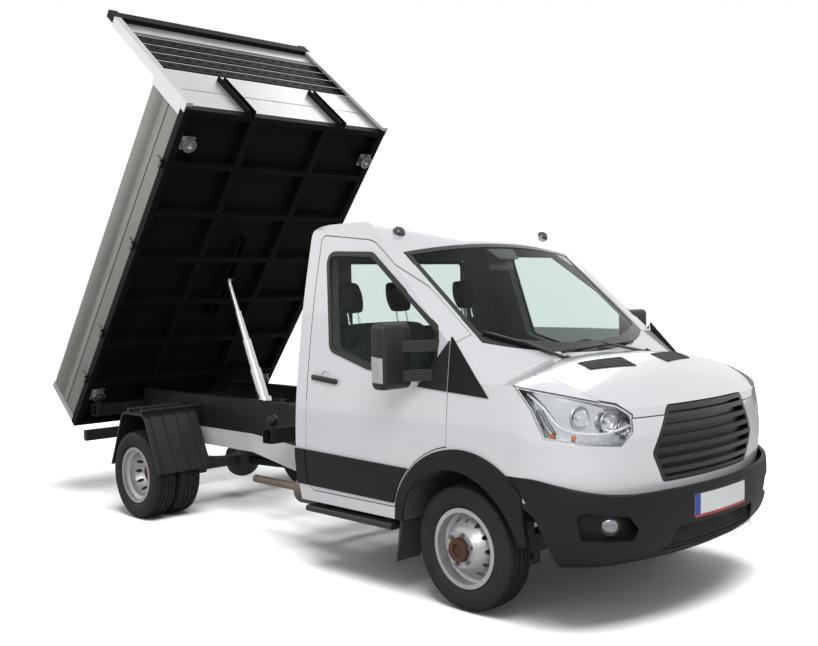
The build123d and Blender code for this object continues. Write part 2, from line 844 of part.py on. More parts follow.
# Tipper subframe with its corner balls
hinge_place = -4366.0
hinge_height = 895.0
ball_half = 870.0
ball_radius = 38.0
ball_stalk_radius = 18.0
bed_length = 3180.0
bed_tilt = 51.0
bed_rear_past_hinge = 374.0
bed_floor_above_hinge = 120.0
front_ball_along = 2905.0
front_ball_place = hinge_place - bed_rear_past_hinge + front_ball_along
sub_outer = 470.0
sub_width = 66.0
sub_wall = 8.0
sub_top = 942.0
sub_front = -1560.0
beam_width = 100.0
beam_top = 842.0
beam_wall = 6.0

sub_rows = [
    # x, z, corner radius
    (hinge_place + beam_width / 2, rail_rear_top + seat_gap, 0),
    (rail_kick_start - rail_kick, rail_rear_top + seat_gap, 0),
    (rail_kick_start, rail_top + seat_gap, 0),
    (rail_kick_start + rail_kick, floor_height - floor_wall - 3 * rail_wall + seat_gap, 0),
    (sub_front, floor_height - floor_wall - 3 * rail_wall + seat_gap, 0),
    (sub_front, sub_top - overrun, 0),
    (sub_front - 2 * overrun, sub_top, 0),
    (hinge_place + beam_width / 2, sub_top, 0),
]
sub_face = side_face(sub_rows)
sub_rail = extrude(Pos(0, sub_outer - sub_width, 0) * sub_face, sub_width, dir=(0, 1, 0))
sub_hollow_face = Pos(0, sub_outer - sub_width, 0) * offset(sub_face, -sub_wall)
sub_hollow = extrude(sub_hollow_face, sub_width - sub_wall, dir=(0, 1, 0))
subframe = both_sides(sub_rail - sub_hollow)
for place in (hinge_place, front_ball_place):
    beam = block(
        place - beam_width / 2, place + beam_width / 2,
        -ball_half - beam_width / 2, ball_half + beam_width / 2,
        beam_top - beam_width, beam_top,
    )
    beam = beam - block(
        place - beam_width / 2 + beam_wall, place + beam_width / 2 - beam_wall,
        -ball_half - beam_width, ball_half + beam_width,
        beam_top - beam_width + beam_wall, beam_top - beam_wall,
    )
    subframe = subframe + beam
for place in (hinge_place, front_ball_place):
    for side in (-1, 1):
        subframe = subframe + rod(
            (place, side * ball_half, beam_top - beam_wall),
            (place, side * ball_half, hinge_height), ball_stalk_radius,
        )
        subframe = subframe + Pos(place, side * ball_half, hinge_height) * Sphere(ball_radius)
pieces["tipper_subframe"] = subframe


# Cradle for the lift cylinder between the subframe's rails
trunnion_place = -3140.0
trunnion_height = 835.0
trunnion_radius = 22.0
trunnion_gap = 0.4
cylinder_swing = 25.457
barrel_radius = 62.0
barrel_length = 420.0
cradle_inner = 74.0
cradle_wall = 20.0
cradle_rear = -3270.0
cradle_front = -2970.0
cradle_beam = 40.0
cradle_top = 880.0

plate = block(
    cradle_rear, cradle_front, cradle_inner, cradle_inner + cradle_wall, beam_top - beam_width, cradle_top
)
plate = plate - disc(trunnion_place, trunnion_height, trunnion_radius + trunnion_gap, 0, 2 * cradle_inner)
cradle = both_sides(plate)
for place in (cradle_rear, cradle_front - cradle_beam):
    cradle = cradle + block(
        place, place + cradle_beam, -sub_outer + sub_wall,
        sub_outer - sub_wall, beam_top - beam_width, beam_top,
    )
pieces["tipper_subframe"] = pieces["tipper_subframe"] + cradle

# Tyres, rims, hubs and drums
bead_radius = rim_bead_radius + seat_gap
tyre_rows_shares = [
    # across as a share of half the width, height as a share of the way from bead to tread
    (-0.73, 0.00),
    (-0.73, 0.14),
    (-1.00, 0.46),
    (-0.94, 0.83),
    (-0.60, 1.00),
]
rim_rows_shares = [
    # across as a share of half the rim's width, radius as a share of the flange's
    (-1.000, 1.000),
    (-0.902, 1.000),
    (-0.902, 0.9227),
    (-0.610, 0.9227),
    (-0.439, 0.809),
    (0.049, 0.809),
    (0.268, 0.9227),
    (0.902, 0.9227),
    (0.902, 1.000),
    (1.000, 1.000),
    (1.000, 0.891),
    (0.220, 0.891),
    (0.000, 0.777),
    (-0.488, 0.777),
    (-0.659, 0.891),
    (-1.000, 0.891),
]
disc_rows_shares = [
    # across as a share of the mounting face's offset, radius as a share of the rim's well
    (1.000, 0.380),
    (1.000, 0.560),
    (0.820, 0.685),
    (0.465, 0.843),
    (0.000, 0.966),
]
mount_face = twin_spacing / 2
hub_face_recess = 14.0
hub_boss_radius = 36.0
flange_radius = 96.0
flange_wall = 14.0
spindle_radius = 30.0
spindle_gap = 0.5
spindle_depth = 90.0
drum_radius = 122.0
drum_width = 92.0


def tyre(across):
    """Tyre with its middle plane at y = across, over the origin."""
    half = tyre_width / 2
    span = tyre_radius - bead_radius
    low = [(a * half, bead_radius + h * span) for a, h in tyre_rows_shares]
    high = [(-a, r) for a, r in reversed(low)]
    return revolved(low + high, 0, across, 0)


def rim(across, way):
    """Steel rim at y = across whose disc bulges towards +Y when way is 1, towards -Y when -1."""
    half = rim_width / 2
    ring = [(way * a * half, r * rim_flange_radius) for a, r in rim_rows_shares]
    barrel = revolved(ring, 0, across, 0)
    face = [(way * a * mount_face, r * rim_well_radius) for a, r in disc_rows_shares]
    back = [(a - way * disc_wall, r) for a, r in reversed(face)]
    plate = revolved(face + back, 0, across, 0)
    hole = disc(0, 0, disc_hole_radius, -mount_face, mount_face)
    for k in range(disc_hole_count):
        turn = 2 * pi * k / disc_hole_count
        plate = plate - Pos(disc_hole_circle * cos(turn), across, disc_hole_circle * sin(turn)) * hole
    return barrel + plate


def hub_form(bore_start, flange_face, end):
    """Hub with a blind bore for its spindle, a flange behind the wheel and a recessed nose."""
    body = disc(0, 0, hub_radius, bore_start, end) + disc(
        0, 0, flange_radius, flange_face - flange_wall, flange_face
    )
    body = body - disc(0, 0, spindle_radius + spindle_gap, bore_start - overrun, bore_start + spindle_depth)
    return body - disc(0, 0, hub_boss_radius, end - hub_face_recess, end + overrun)


front_wheel_y = front_track / 2
kingpin_y = front_wheel_y - kingpin_offset
front_face = front_wheel_y + mount_face
brake_inner = front_wheel_y - rim_width / 2 + 2 * disc_wall
front_hub = hub_form(brake_inner, front_face - disc_wall, front_face + hub_nose / 2)
brake = disc(0, 0, brake_disc_radius, brake_inner, brake_inner + brake_disc_width)
brake = brake - disc(
    0, 0, hub_radius - disc_wall, brake_inner - overrun, brake_inner + brake_disc_width + overrun
)
front_spot = Pos(0, 0, tyre_radius)
front_rim = front_spot * (rim(front_wheel_y, 1) + front_hub + brake)
pieces["front_rim_left"] = front_rim
pieces["front_rim_right"] = mirror(front_rim, Plane.XZ)
pieces["front_tyre_left"] = front_spot * tyre(front_wheel_y)
pieces["front_tyre_right"] = mirror(pieces["front_tyre_left"], Plane.XZ)

rear_spot = Pos(-wheelbase, 0, tyre_radius)
twin_middle = twin_track / 2
rear_outer = twin_middle + twin_spacing / 2
rear_inner = twin_middle - twin_spacing / 2
drum_inner = twin_middle - disc_wall - flange_wall - drum_width
rear_hub = hub_form(drum_inner, twin_middle - disc_wall, twin_middle + disc_wall + 1.3 * hub_nose)
drum = disc(0, 0, drum_radius, drum_inner, drum_inner + drum_width)
drum = drum - disc(
    0, 0, spindle_radius + spindle_gap, drum_inner - overrun, drum_inner + drum_width + overrun
)
rear_rims = rear_spot * (rim(rear_outer, -1) + rim(rear_inner, 1) + rear_hub + drum)
pieces["rear_rims_left"] = rear_rims
pieces["rear_rims_right"] = mirror(rear_rims, Plane.XZ)
rear_tyres = (rear_spot * tyre(rear_outer)) + (rear_spot * tyre(rear_inner))
pieces["rear_tyres_left"] = rear_tyres
pieces["rear_tyres_right"] = mirror(rear_tyres, Plane.XZ)

# Steering knuckles, front struts, crossmember and arms
carrier_half = 62.0
carrier_low = 196.0
carrier_top = 470.0
ball_joint_radius = 20.0
cross_low = 225.0
cross_high = 330.0
cross_depth = 110.0
tower_inner = 408.0
arm_low = 158.0
arm_inner = 360.0
arm_root = 55.0

knuckle = rod((0, kingpin_y, carrier_low), (0, kingpin_y, carrier_top), strut_radius)
knuckle = knuckle + block(
    -carrier_half, carrier_half, kingpin_y, kingpin_y + strut_radius,
    tyre_radius - carrier_half, tyre_radius + carrier_half,
)
knuckle = knuckle + disc(0, tyre_radius, spindle_radius, kingpin_y, brake_inner + spindle_depth - panel_gap)
pieces["knuckle_left"] = knuckle
pieces["knuckle_right"] = mirror(knuckle, Plane.XZ)

strut_low = carrier_top + seat_gap
strut_roof = sqrt(arch_radius**2 - spring_radius**2) + tyre_radius - seat_gap
spring_low = 2 * tyre_radius + 2 * panel_gap
strut = rod((0, kingpin_y, strut_low), (0, kingpin_y, strut_roof), strut_radius)
strut = strut + rod((0, kingpin_y, spring_low), (0, kingpin_y, strut_roof), spring_radius)
arm_rows = [
    # x, y, corner radius
    (-arm_root, arm_inner, 0),
    (-arm_root / 2, kingpin_y + ball_joint_radius, ball_joint_radius),
    (arm_root / 2, kingpin_y + ball_joint_radius, ball_joint_radius),
    (arm_root, arm_inner, 0),
]
arm = plan_solid(arm_rows, arm_low, arm_low + arm_thickness)
arm = arm + rod((0, kingpin_y, arm_low), (0, kingpin_y, carrier_low - seat_gap), ball_joint_radius)
arm = arm + block(-arm_root, arm_root, arm_inner, arm_inner + cross_depth / 2, arm_low, cross_low + overrun)
tower = block(-arm_root, arm_root, tower_inner, rail_outer, cross_low, rail_low - seat_gap)
crossmember = block(-cross_depth / 2, cross_depth / 2, -rail_outer, rail_outer, cross_low, cross_high)
pieces["front_suspension"] = crossmember + both_sides(arm + tower) + both_sides(strut)

# Rear axle and leaf springs
axle_radius = 46.0
diff_radius = 152.0
diff_width = 190.0
leaf_y = 440.0
leaf_width = 66.0
leaf_wall = 13.0
leaf_count = 3
leaf_half_length = 640.0
leaf_step = 150.0
leaf_rise = 96.0
leaf_eye_radius = 24.0
bolt_wall = 12.0
axle_end = drum_inner - seat_gap
leaf_bed = tyre_radius + axle_radius
leaf_eye_height = leaf_bed + (leaf_count - 1) * leaf_wall + leaf_rise + leaf_wall / 2

axle = disc(-wheelbase, tyre_radius, axle_radius, -axle_end, axle_end)
spindle_end = drum_inner + spindle_depth - panel_gap
axle = axle + disc(-wheelbase, tyre_radius, spindle_radius, -spindle_end, spindle_end)
bulge = Pos(-wheelbase, 0, tyre_radius) * Sphere(diff_radius)
axle = axle + (
    bulge & block(
        -wheelbase - diff_radius, -wheelbase + diff_radius, -diff_width / 2, diff_width / 2, 0, roof_height
    )
)


def leaf(k):
    """One leaf of the spring, k steps below the main leaf."""
    half = leaf_half_length - k * leaf_step
    rise = leaf_rise * (half / leaf_half_length) ** 2
    low = leaf_bed + (leaf_count - 1 - k) * leaf_wall
    tip = Vector(half, 0, low + rise)
    up = Vector(0, 0, leaf_wall)
    flip = Vector(-half, 0, low + rise)
    under = ThreePointArc(flip, (0, 0, low), tip)
    over = ThreePointArc(tip + up, (0, 0, low + leaf_wall), flip + up)
    face = make_face(Wire([under, Line(tip, tip + up), over, Line(flip + up, flip)]))
    return extrude(Pos(-wheelbase, leaf_y - leaf_width / 2, 0) * face, leaf_width, dir=(0, 1, 0))


spring = leaf(0)
for k in range(1, leaf_count):
    spring = spring + leaf(k)
for way in (-1, 1):
    place = -wheelbase + way * leaf_half_length
    near, far = leaf_y - leaf_width / 2, leaf_y + leaf_width / 2
    spring = spring + disc(place, leaf_eye_height, leaf_eye_radius, near, far)
    spring = spring + block(
        place - leaf_eye_radius, place + leaf_eye_radius,
        near, far, leaf_eye_height, rail_rear_low - seat_gap,
    )
clamp = block(
    -wheelbase - axle_radius - bolt_wall, -wheelbase + axle_radius + bolt_wall,
    leaf_y - leaf_width / 2 - bolt_wall, leaf_y + leaf_width / 2 + bolt_wall,
    tyre_radius - axle_radius - bolt_wall, leaf_bed + (leaf_count + 1) * leaf_wall,
)
pieces["rear_axle"] = axle + both_sides(spring + clamp)

# Engine and gearbox as plain blocks, propeller shaft
engine_front = 740.0
engine_half = 280.0
engine_low = 380.0
engine_top = 1080.0
gearbox_half = 150.0
gearbox_low = 365.0
gearbox_end = -600.0
gearbox_top = floor_height - floor_wall - panel_gap
mount_place = 500.0
mount_width = 90.0
prop_radius = 38.0
prop_joint_share = 1.3
prop_height = 450.0
engine_back = firewall_place + side_wall + panel_gap

engine = block(engine_back, engine_front, -engine_half, engine_half, engine_low, engine_top)
engine = engine + block(
    gearbox_end, engine_back + panel_gap, -gearbox_half, gearbox_half, gearbox_low, gearbox_top
)
engine = engine + block(
    mount_place - mount_width / 2, mount_place + mount_width / 2,
    -rail_outer, rail_outer, rail_front_top + seat_gap, rail_front_top + overrun,
)
pieces["engine"] = engine
prop_front = Vector(gearbox_end - seat_gap, 0, prop_height)
prop_joint = Vector(gearbox_end - 2 * prop_radius, 0, prop_height)
prop_rear = Vector(-wheelbase + diff_radius / 2, 0, tyre_radius)
prop = rod(prop_front, prop_joint, prop_radius) + Pos(*prop_joint) * Sphere(prop_radius * prop_joint_share)
prop_end = Pos(-wheelbase, 0, tyre_radius) * Sphere(diff_radius + seat_gap)
prop = prop + (rod(prop_joint, prop_rear, prop_radius) - prop_end)
pieces["propshaft"] = prop

# Exhaust and fuel tank
silencer_radius = 98.0
hanger_share = 1.6
silencer_front = -1190.0
silencer_rear = -1790.0
silencer_y = -645.0
exhaust_height = 400.0
exhaust_radius = 28.0
exhaust_inner_y = -250.0
exhaust_bends = [-1000.0, -720.0]
tank_front = -1460.0
tank_rear = -2360.0
tank_inner = 500.0
tank_outer = 850.0
tank_low = 345.0
tank_top = 620.0
tank_round = 50.0

silencer = rod(
    (silencer_rear, silencer_y, exhaust_height),
    (silencer_front, silencer_y, exhaust_height), silencer_radius,
)
hanger = block(
    silencer_rear + silencer_radius, silencer_rear + 2 * silencer_radius,
    silencer_y, -rail_outer - seat_gap, exhaust_height + silencer_radius / 2,
    exhaust_height + hanger_share * silencer_radius,
)
exhaust_points = [
    (silencer_rear - 6 * silencer_radius, silencer_y, exhaust_height),
    (exhaust_bends[0], silencer_y, exhaust_height),
    (exhaust_bends[1], exhaust_inner_y, exhaust_height),
    (engine_back - seat_gap, exhaust_inner_y, exhaust_height),
]
exhaust = silencer + hanger
for start, end in zip(exhaust_points, exhaust_points[1:]):
    exhaust = exhaust + rod(start, end, exhaust_radius)
for bend in exhaust_points[1:3]:
    exhaust = exhaust + Pos(*bend) * Sphere(exhaust_radius)
pieces["exhaust"] = exhaust
tank = block(tank_rear, tank_front, tank_inner, tank_outer, tank_low, tank_top)
tank = fillet(tank.edges().filter_by(Axis.X), tank_round)
for place in (tank_rear + tank_round, tank_front - 2 * tank_round):
    tank = tank + block(
        place, place + tank_round, rail_outer + seat_gap,
        tank_inner + overrun, rail_low + tank_round, rail_top - tank_round,
    )
pieces["fuel_tank"] = tank

# Rear mudguards on two cross pipes, front mudflaps, steps
guard_outer = 1020.0
guard_inner = 556.0
guard_top = 842.0
guard_wall = 6.0
guard_front = -3105.0
guard_rear = -3902.0
guard_foot = 368.0
guard_crown_front = -3330.0
guard_crown_rear = -3680.0
guard_crown_radius = 90.0
guard_lip = 18.0
guard_rib = 9.0
guard_rib_width = 34.0
guard_rib_count = 4
guard_pipe_radius = 19.0
guard_pipe_places = [-3400.0, -3610.0]

guard_rows = [
    # x, z, corner radius
    (guard_front, guard_foot, 0),
    (guard_crown_front, guard_top, guard_crown_radius),
    (guard_crown_rear, guard_top, guard_crown_radius),
    (guard_rear, guard_foot, 0),
]
guard_face = side_face(guard_rows)
guard_span = guard_outer - guard_inner


def guard_ring(out, inside, y0, y1):
    """Band between two offsets of the mudguard's outline, from y0 to y1."""
    ring = offset(guard_face, out) - offset(guard_face, -inside)
    return extrude(Pos(0, y0, 0) * ring, y1 - y0, dir=(0, 1, 0))


guard = guard_ring(seat_gap, guard_wall, guard_inner, guard_outer)
guard = guard + guard_ring(seat_gap, guard_lip, guard_outer - guard_wall, guard_outer)
for k in range(guard_rib_count):
    place = guard_inner + (k + 0.5) * guard_span / guard_rib_count
    guard = guard + guard_ring(
        guard_rib, guard_wall / 2, place - guard_rib_width / 2, place + guard_rib_width / 2
    )
guard = guard - block(
    guard_rear - overrun, guard_front + overrun, 0,
    guard_outer + overrun, 0, guard_foot + guard_lip + guard_wall,
)
for place in guard_pipe_places:
    height = guard_top + guard_pipe_radius - guard_wall / 2
    pipe_ends = ((place, sub_outer + seat_gap, height), (place, guard_outer - guard_lip, height))
    guard = guard + rod(*pipe_ends, guard_pipe_radius)
pieces["rear_mudguards"] = both_sides(guard)

flap_wall = 8.0
flap_top = -440.0
flap_low = 190.0
flap_slope = 60.0
flap_outer = 980.0
flap_width = 190.0
flap_rows = [
    # x, z, corner radius
    (flap_top, sill_height - seat_gap, 0),
    (flap_top - flap_slope, flap_low, 0),
    (flap_top - flap_slope - flap_wall, flap_low, 0),
    (flap_top - 3 * flap_wall, sill_height - seat_gap, 0),
]
step_rear = -1306.0
step_front = -510.0
step_low = 376.0
step_wall = 38.0
step_inner = 880.0
step_outer = 1012.0
step_bracket = 60.0
flap = side_solid(flap_rows, flap_outer - flap_width, flap_outer)
pieces["mudflaps"] = both_sides(flap)
step = block(step_rear, step_front, step_inner, step_outer, step_low, step_low + step_wall)
step = fillet(step.edges().filter_by(Axis.X), step_wall / 3)
for place in (step_rear + step_bracket, step_front - 2 * step_bracket):
    step = step + block(
        place, place + step_bracket, step_inner, step_inner + step_bracket,
        step_low + step_wall / 2, sill_height - seat_gap,
    )
pieces["side_steps"] = both_sides(step)

# Rear lamp bar
bar_half = 905.0
bar_low = 505.0
bar_high = 600.0
bar_depth = 46.0
tail_lamp_width = 330.0
tail_lamp_depth = 34.0
tail_lamp_inset = 12.0
bar_front = rail_end - seat_gap
bar = block(bar_front - bar_depth, bar_front, -bar_half, bar_half, bar_low, bar_high)
lamp = block(
    bar_front - bar_depth - tail_lamp_depth, bar_front - bar_depth,
    bar_half - tail_lamp_width, bar_half - tail_lamp_inset,
    bar_low + tail_lamp_inset, bar_high - tail_lamp_inset,
)
pieces["tail_bar"] = bar + both_sides(lamp)

# Tipping bed, built level and then raised. Along is measured forward from its rear edge,
# height from the dropsides' foot.
bed_half = 978.0
bed_place = Pos(hinge_place, 0, hinge_height) * Rot(0, -bed_tilt, 0)
bed_place = bed_place * Pos(-bed_rear_past_hinge, 0, bed_floor_above_hinge)
frame_low = -65.0
frame_rail = 58.0
floor_edge = 945.0
floor_low = -2.0
floor_rim = 1.0
floor_top = 3.0
floor_margin = 2.0
cross_count = 8
cross_width = 50.0
long_inner = 330.0
long_outer = 390.0
eye_along = 1600.0
eye_height = -62.0
cheek_inner = 30.0
cheek_wall = 12.0
cheek_half = 70.0
cheek_low = -100.0
cheek_bridge = 420.0
socket_radius = 55.0
socket_bore = 40.0
socket_plate = 110.0
socket_wall = 10.0
ball_alongs = [bed_rear_past_hinge, front_ball_along]
drop_axis_y = 996.0
drop_axis_height = -12.0
drop_pin_radius = 6.0
drop_knuckle_radius = 12.0
drop_knuckle_gap = 0.5
drop_lug_wall = 8.0
drop_knuckle_width = 50.0
drop_strap_top = 72.0
drop_hinge_alongs = [507.0, 1016.0, 1917.0, 2677.0]
lug_high = 6.0
lug_low = -8.0

frame = block(0, bed_length, bed_half - frame_rail, bed_half, frame_low, floor_low)
frame = frame + block(0, bed_length, long_inner, long_outer, frame_low, floor_low)
for along in ball_alongs:
    cup = rod((along, ball_half, -bed_floor_above_hinge), (along, ball_half, frame_low), socket_radius)
    cup = cup - Pos(along, ball_half, -bed_floor_above_hinge) * Sphere(socket_bore)
    pad = block(
        along - socket_plate / 2, along + socket_plate / 2,
        ball_half - socket_plate / 2, ball_half + socket_plate / 2, frame_low - socket_wall, frame_low,
    )
    frame = frame + cup + (pad - Pos(along, ball_half, -bed_floor_above_hinge) * Sphere(socket_bore))
for along in drop_hinge_alongs:
    reach = drop_knuckle_width / 2 + 1 + drop_lug_wall
    pin_ends = [(along + way * reach, drop_axis_y, drop_axis_height) for way in (-1, 1)]
    frame = frame + rod(*pin_ends, drop_pin_radius)
    for side in (-1, 1):
        start = along + side * (reach - drop_lug_wall)
        frame = frame + block(
            start, start + side * drop_lug_wall,
            bed_half - panel_gap / 2, drop_axis_y + drop_pin_radius,
            drop_axis_height + lug_low, drop_axis_height + lug_high,
        )
frame = both_sides(frame)
for k in range(cross_count):
    start = k * (bed_length - cross_width) / (cross_count - 1)
    frame = frame + block(
        start, start + cross_width, -bed_half + frame_rail, bed_half - frame_rail, frame_low, floor_low
    )
frame = frame + block(0, bed_length, -floor_edge, floor_edge, floor_low, floor_rim)
cheek = block(
    eye_along - cheek_half, eye_along + cheek_half, cheek_inner,
    cheek_inner + cheek_wall, cheek_low, floor_low,
)
bridge = block(
    eye_along - cheek_bridge, eye_along + cheek_bridge,
    cheek_inner, cheek_inner + cheek_wall, frame_low, floor_low,
)
frame = frame + both_sides(cheek + bridge)

# Dropsides, corner posts, tailgate and headboard
board_wall = 28.0
board_low = 4.0
board_height = 446.0
board_rows = [
    # depth in from the outer face, height
    (0.0, board_low),
    (0.0, 150.0),
    (12.0, 152.0),
    (12.0, 163.0),
    (0.0, 165.0),
    (0.0, 212.0),
    (11.0, 232.0),
    (11.0, 268.0),
    (0.0, 288.0),
    (0.0, 402.0),
    (4.0, board_height),
    (board_wall, board_height),
    (board_wall, board_low),
]
groove_height = 12.0
groove_depth = 8.0
gate_grooves = [157.0, 250.0]
post_size = 60.0
post_height = 460.0
post_gap = 5.0
head_start = 3152.0
head_height = 550.0
head_half = bed_half
head_groove = 250.0
channel_width = 60.0
channel_depth = 45.0
channel_rows = [
    # middle across, foot, top
    (-400.0, -60.0, 480.0),
    (500.0, -60.0, 480.0),
]
rack_post = 50.0
rack_top = 1360.0
rack_rail_low = 1265.0
slat_wall = 10.0
slat_inset = 12.0
slat_rows = [
    # foot, top
    (578.0, 686.0),
    (714.0, 822.0),
    (850.0, 958.0),
    (986.0, 1094.0),
]
top_slat_low = 1122.0
slot_count = 17
slot_length = 52.0
slot_height = 16.0
rack_post_wall = 6.0
channel_wall = 6.0
rack_bracket = 75.0
rack_bracket_height = 25.0


rear_post = panel_gap
front_post = head_start - seat_gap - post_size
drop_start = rear_post + post_size + post_gap
drop_end = front_post - post_gap
board_outline = [(0, bed_half - inwards, height) for inwards, height in board_rows]
board_face = make_face(Polyline(*board_outline, close=True))
board = extrude(board_face, drop_end - drop_start, dir=(1, 0, 0))
drop = Pos(drop_start, 0, 0) * board
strap_inner = bed_half + panel_gap
for along in drop_hinge_alongs:
    half = drop_knuckle_width / 2
    ring_ends = [(along + way * half, drop_axis_y, drop_axis_height) for way in (-1, 1)]
    hole_ends = [(along + way * 2 * half, drop_axis_y, drop_axis_height) for way in (-1, 1)]
    knuckle_ring = rod(*ring_ends, drop_knuckle_radius)
    strap_outer = strap_inner + drop_lug_wall
    strap = block(along - half, along + half, strap_inner, strap_outer, drop_axis_height, drop_strap_top)
    pad = block(
        along - half, along + half, bed_half - panel_gap / 3,
        strap_outer, drop_knuckle_radius, drop_strap_top,
    )
    hole = rod(*hole_ends, drop_pin_radius + drop_knuckle_gap)
    drop = drop + ((knuckle_ring + strap + pad) - hole)
pieces["dropside_left"] = bed_place * drop
pieces["dropside_right"] = bed_place * mirror(drop, Plane.XZ)

post_low = floor_rim + seat_gap
posts = block(rear_post, rear_post + post_size, bed_half - post_size, bed_half, post_low, post_height)
posts = posts + block(
    front_post, front_post + post_size, bed_half - post_size, bed_half, post_low, post_height
)
pieces["bed_posts"] = bed_place * both_sides(posts)

# Load plate on the floor, inside the walls and round the posts
plate = block(
    rear_post + board_wall + floor_margin, head_start - floor_margin,
    -floor_edge, floor_edge, floor_rim, floor_top,
)
corner = bed_half - post_size - floor_margin
plate = plate - both_sides(
    block(0, rear_post + post_size + floor_margin, corner, bed_half, floor_rim, floor_top)
    + block(front_post - floor_margin, bed_length, corner, bed_half, floor_rim, floor_top)
)
pieces["bed_frame"] = bed_place * (frame + plate)
gate_half = bed_half - post_size - seat_gap
gate = block(rear_post, rear_post + board_wall, -gate_half, gate_half, post_low, board_height)
for middle in gate_grooves:
    gate = gate - block(
        0, rear_post + groove_depth, -bed_half, bed_half,
        middle - groove_height / 2, middle + groove_height / 2,
    )
pieces["tailgate"] = bed_place * gate
rack_start = bed_length + seat_gap
side_out = head_half + seat_gap + rack_post_wall
head = block(head_start, bed_length, -side_out, side_out, post_low, head_height)
head = head - block(
    bed_length - groove_depth, bed_length + overrun, -head_half, head_half,
    head_groove - groove_height / 2, head_groove + groove_height / 2,
)
side_post = block(
    head_start, bed_length + rack_post, head_half + seat_gap, side_out, frame_low, rack_rail_low
)
side_post = side_post + block(
    rack_start + slat_wall + slat_inset, bed_length + rack_post,
    head_half - rack_post, side_out, frame_low, rack_rail_low,
)
top_slat = block(
    bed_length - slat_wall, bed_length + slat_wall, -side_out, side_out, top_slat_low, rack_rail_low
)
pieces["headboard"] = bed_place * (head + both_sides(side_post) + top_slat)
rack = block(
    bed_length - slat_wall, bed_length + rack_post, -side_out, side_out, rack_rail_low + seat_gap, rack_top
)
for side in (-1, 1):
    rack = rack + block(
        bed_length - slat_wall, bed_length + rack_post,
        side * side_out, side * (side_out - rack_bracket), rack_top, rack_top + rack_bracket_height,
    )
for low, high in slat_rows:
    sheet = Rectangle(2 * head_half, high - low)
    for k in range(slot_count):
        place = (k + 0.5) * 2 * (head_half - rack_post) / slot_count - head_half + rack_post
        sheet = sheet - Pos(place, 0) * Rectangle(slot_length, slot_height)
    upright = Plane(origin=(bed_length - slat_wall, 0, (low + high) / 2), x_dir=(0, 1, 0), z_dir=(1, 0, 0))
    rack = rack + extrude(upright * sheet, slat_wall)
for middle, low, high in channel_rows:
    for side in (-1, 1):
        rack = rack + block(
            rack_start, rack_start + channel_depth,
            middle + side * channel_width / 2,
            middle + side * (channel_width / 2 - channel_wall), low, high,
        )
    rack = rack + block(
        rack_start, rack_start + channel_wall, middle - channel_width / 2,
        middle + channel_width / 2, low, high,
    )
pieces["headboard_rack"] = bed_place * rack

# Lift cylinder: a barrel swinging on its trunnion and four stages
cylinder_low = 118.0
cylinder_high = 1162.1
collar_radius = 66.0
collar_low = 10.0
collar_high = 50.0
barrel_bore = 49.0
barrel_floor = 12.0
stage_wall = 8.0
stage_gap = 1.0
stage_foot = -400.0
stage_head = 55.0
stage_head_step = 8.0
stage_count = 4
rod_eye_radius = 24.0
rod_eye_half = 26.0
stage_stroke = (cylinder_high - cylinder_low) / stage_count
cylinder_place = Pos(trunnion_place, 0, trunnion_height) * Rot(0, -cylinder_swing, 0)

barrel = rod((0, 0, -barrel_length), (0, 0, collar_high), barrel_radius)
barrel = barrel + rod((0, 0, collar_low), (0, 0, collar_high), collar_radius)
barrel = barrel + disc(0, 0, trunnion_radius, -cradle_inner - cradle_wall, cradle_inner + cradle_wall)
barrel = barrel - rod((0, 0, -barrel_length + barrel_floor), (0, 0, collar_high + overrun), barrel_bore)
pieces["cylinder_barrel"] = cylinder_place * barrel
outer = barrel_bore - stage_gap
for k in range(stage_count):
    head_place = stage_head + k * stage_head_step
    stage = rod((0, 0, stage_foot), (0, 0, head_place), outer)
    if k < stage_count - 1:
        stage = stage - rod((0, 0, stage_foot - overrun), (0, 0, head_place + overrun), outer - stage_wall)
    else:
        stage = stage + rod((0, 0, stage_foot), (0, 0, cylinder_low), outer)
        stage = stage - block(
            -outer, outer, rod_eye_half, 2 * rod_eye_half, -cylinder_low, 2 * cylinder_low
        )
        stage = stage + disc(0, cylinder_low, rod_eye_radius, -rod_eye_half, rod_eye_half)
    pieces[f"cylinder_stage_{k + 1}"] = cylinder_place * Pos(0, 0, (k + 1) * stage_stroke) * stage
    outer = outer - stage_wall - stage_gap

# Door mirrors with their sail covers, roof lamps and wipers
sail_rows = [
    # x, z, corner radius
    (255.0, 1185.0, 0),
    (-274.0, 1219.0, 0),
    (-30.0, 1500.0, 0),
]
sail_wall = 8.0
mirror_size = (110.0, 225.0, 365.0)
mirror_middle = (-305.0, 1165.0, 1400.0)
mirror_round = 34.0
mirror_arm = (64.0, 28.0)
mirror_arm_rows = [
    # x at the door, x at the mirror, height
    (-75.0, -290.0, 1450.0),
    (-100.0, -290.0, 1288.0),
]
sail_skin = cab_envelope(-sail_wall) - cab_envelope(-seat_gap)
sail = sail_skin & side_solid(sail_rows, cab_half_width / 2, cab_half_width + overrun)
head = Box(*mirror_size)
head = Pos(*mirror_middle) * fillet(head.edges(), mirror_round)
arms = []
for x0, x1, height in mirror_arm_rows:
    start = Vector(x0, cab_half_width - 2 * side_wall, height)
    reach = Vector(x1, mirror_middle[1], height) - start
    arms.append(extrude(Plane(start, x_dir=(0, 0, 1), z_dir=reach) * Rectangle(*mirror_arm), reach.length))
arms = (arms[0] + arms[1]) - cab_envelope(-sail_wall / 2)
mirror_left = (sail & door_prism(-panel_gap)) + arms + head
pieces["mirror_left"] = mirror_left
pieces["mirror_right"] = mirror(mirror_left, Plane.XZ)
sail_front = sail - door_prism(panel_gap)
pieces["cab_cladding"] = pieces["cab_cladding"] + both_sides(sail_front)

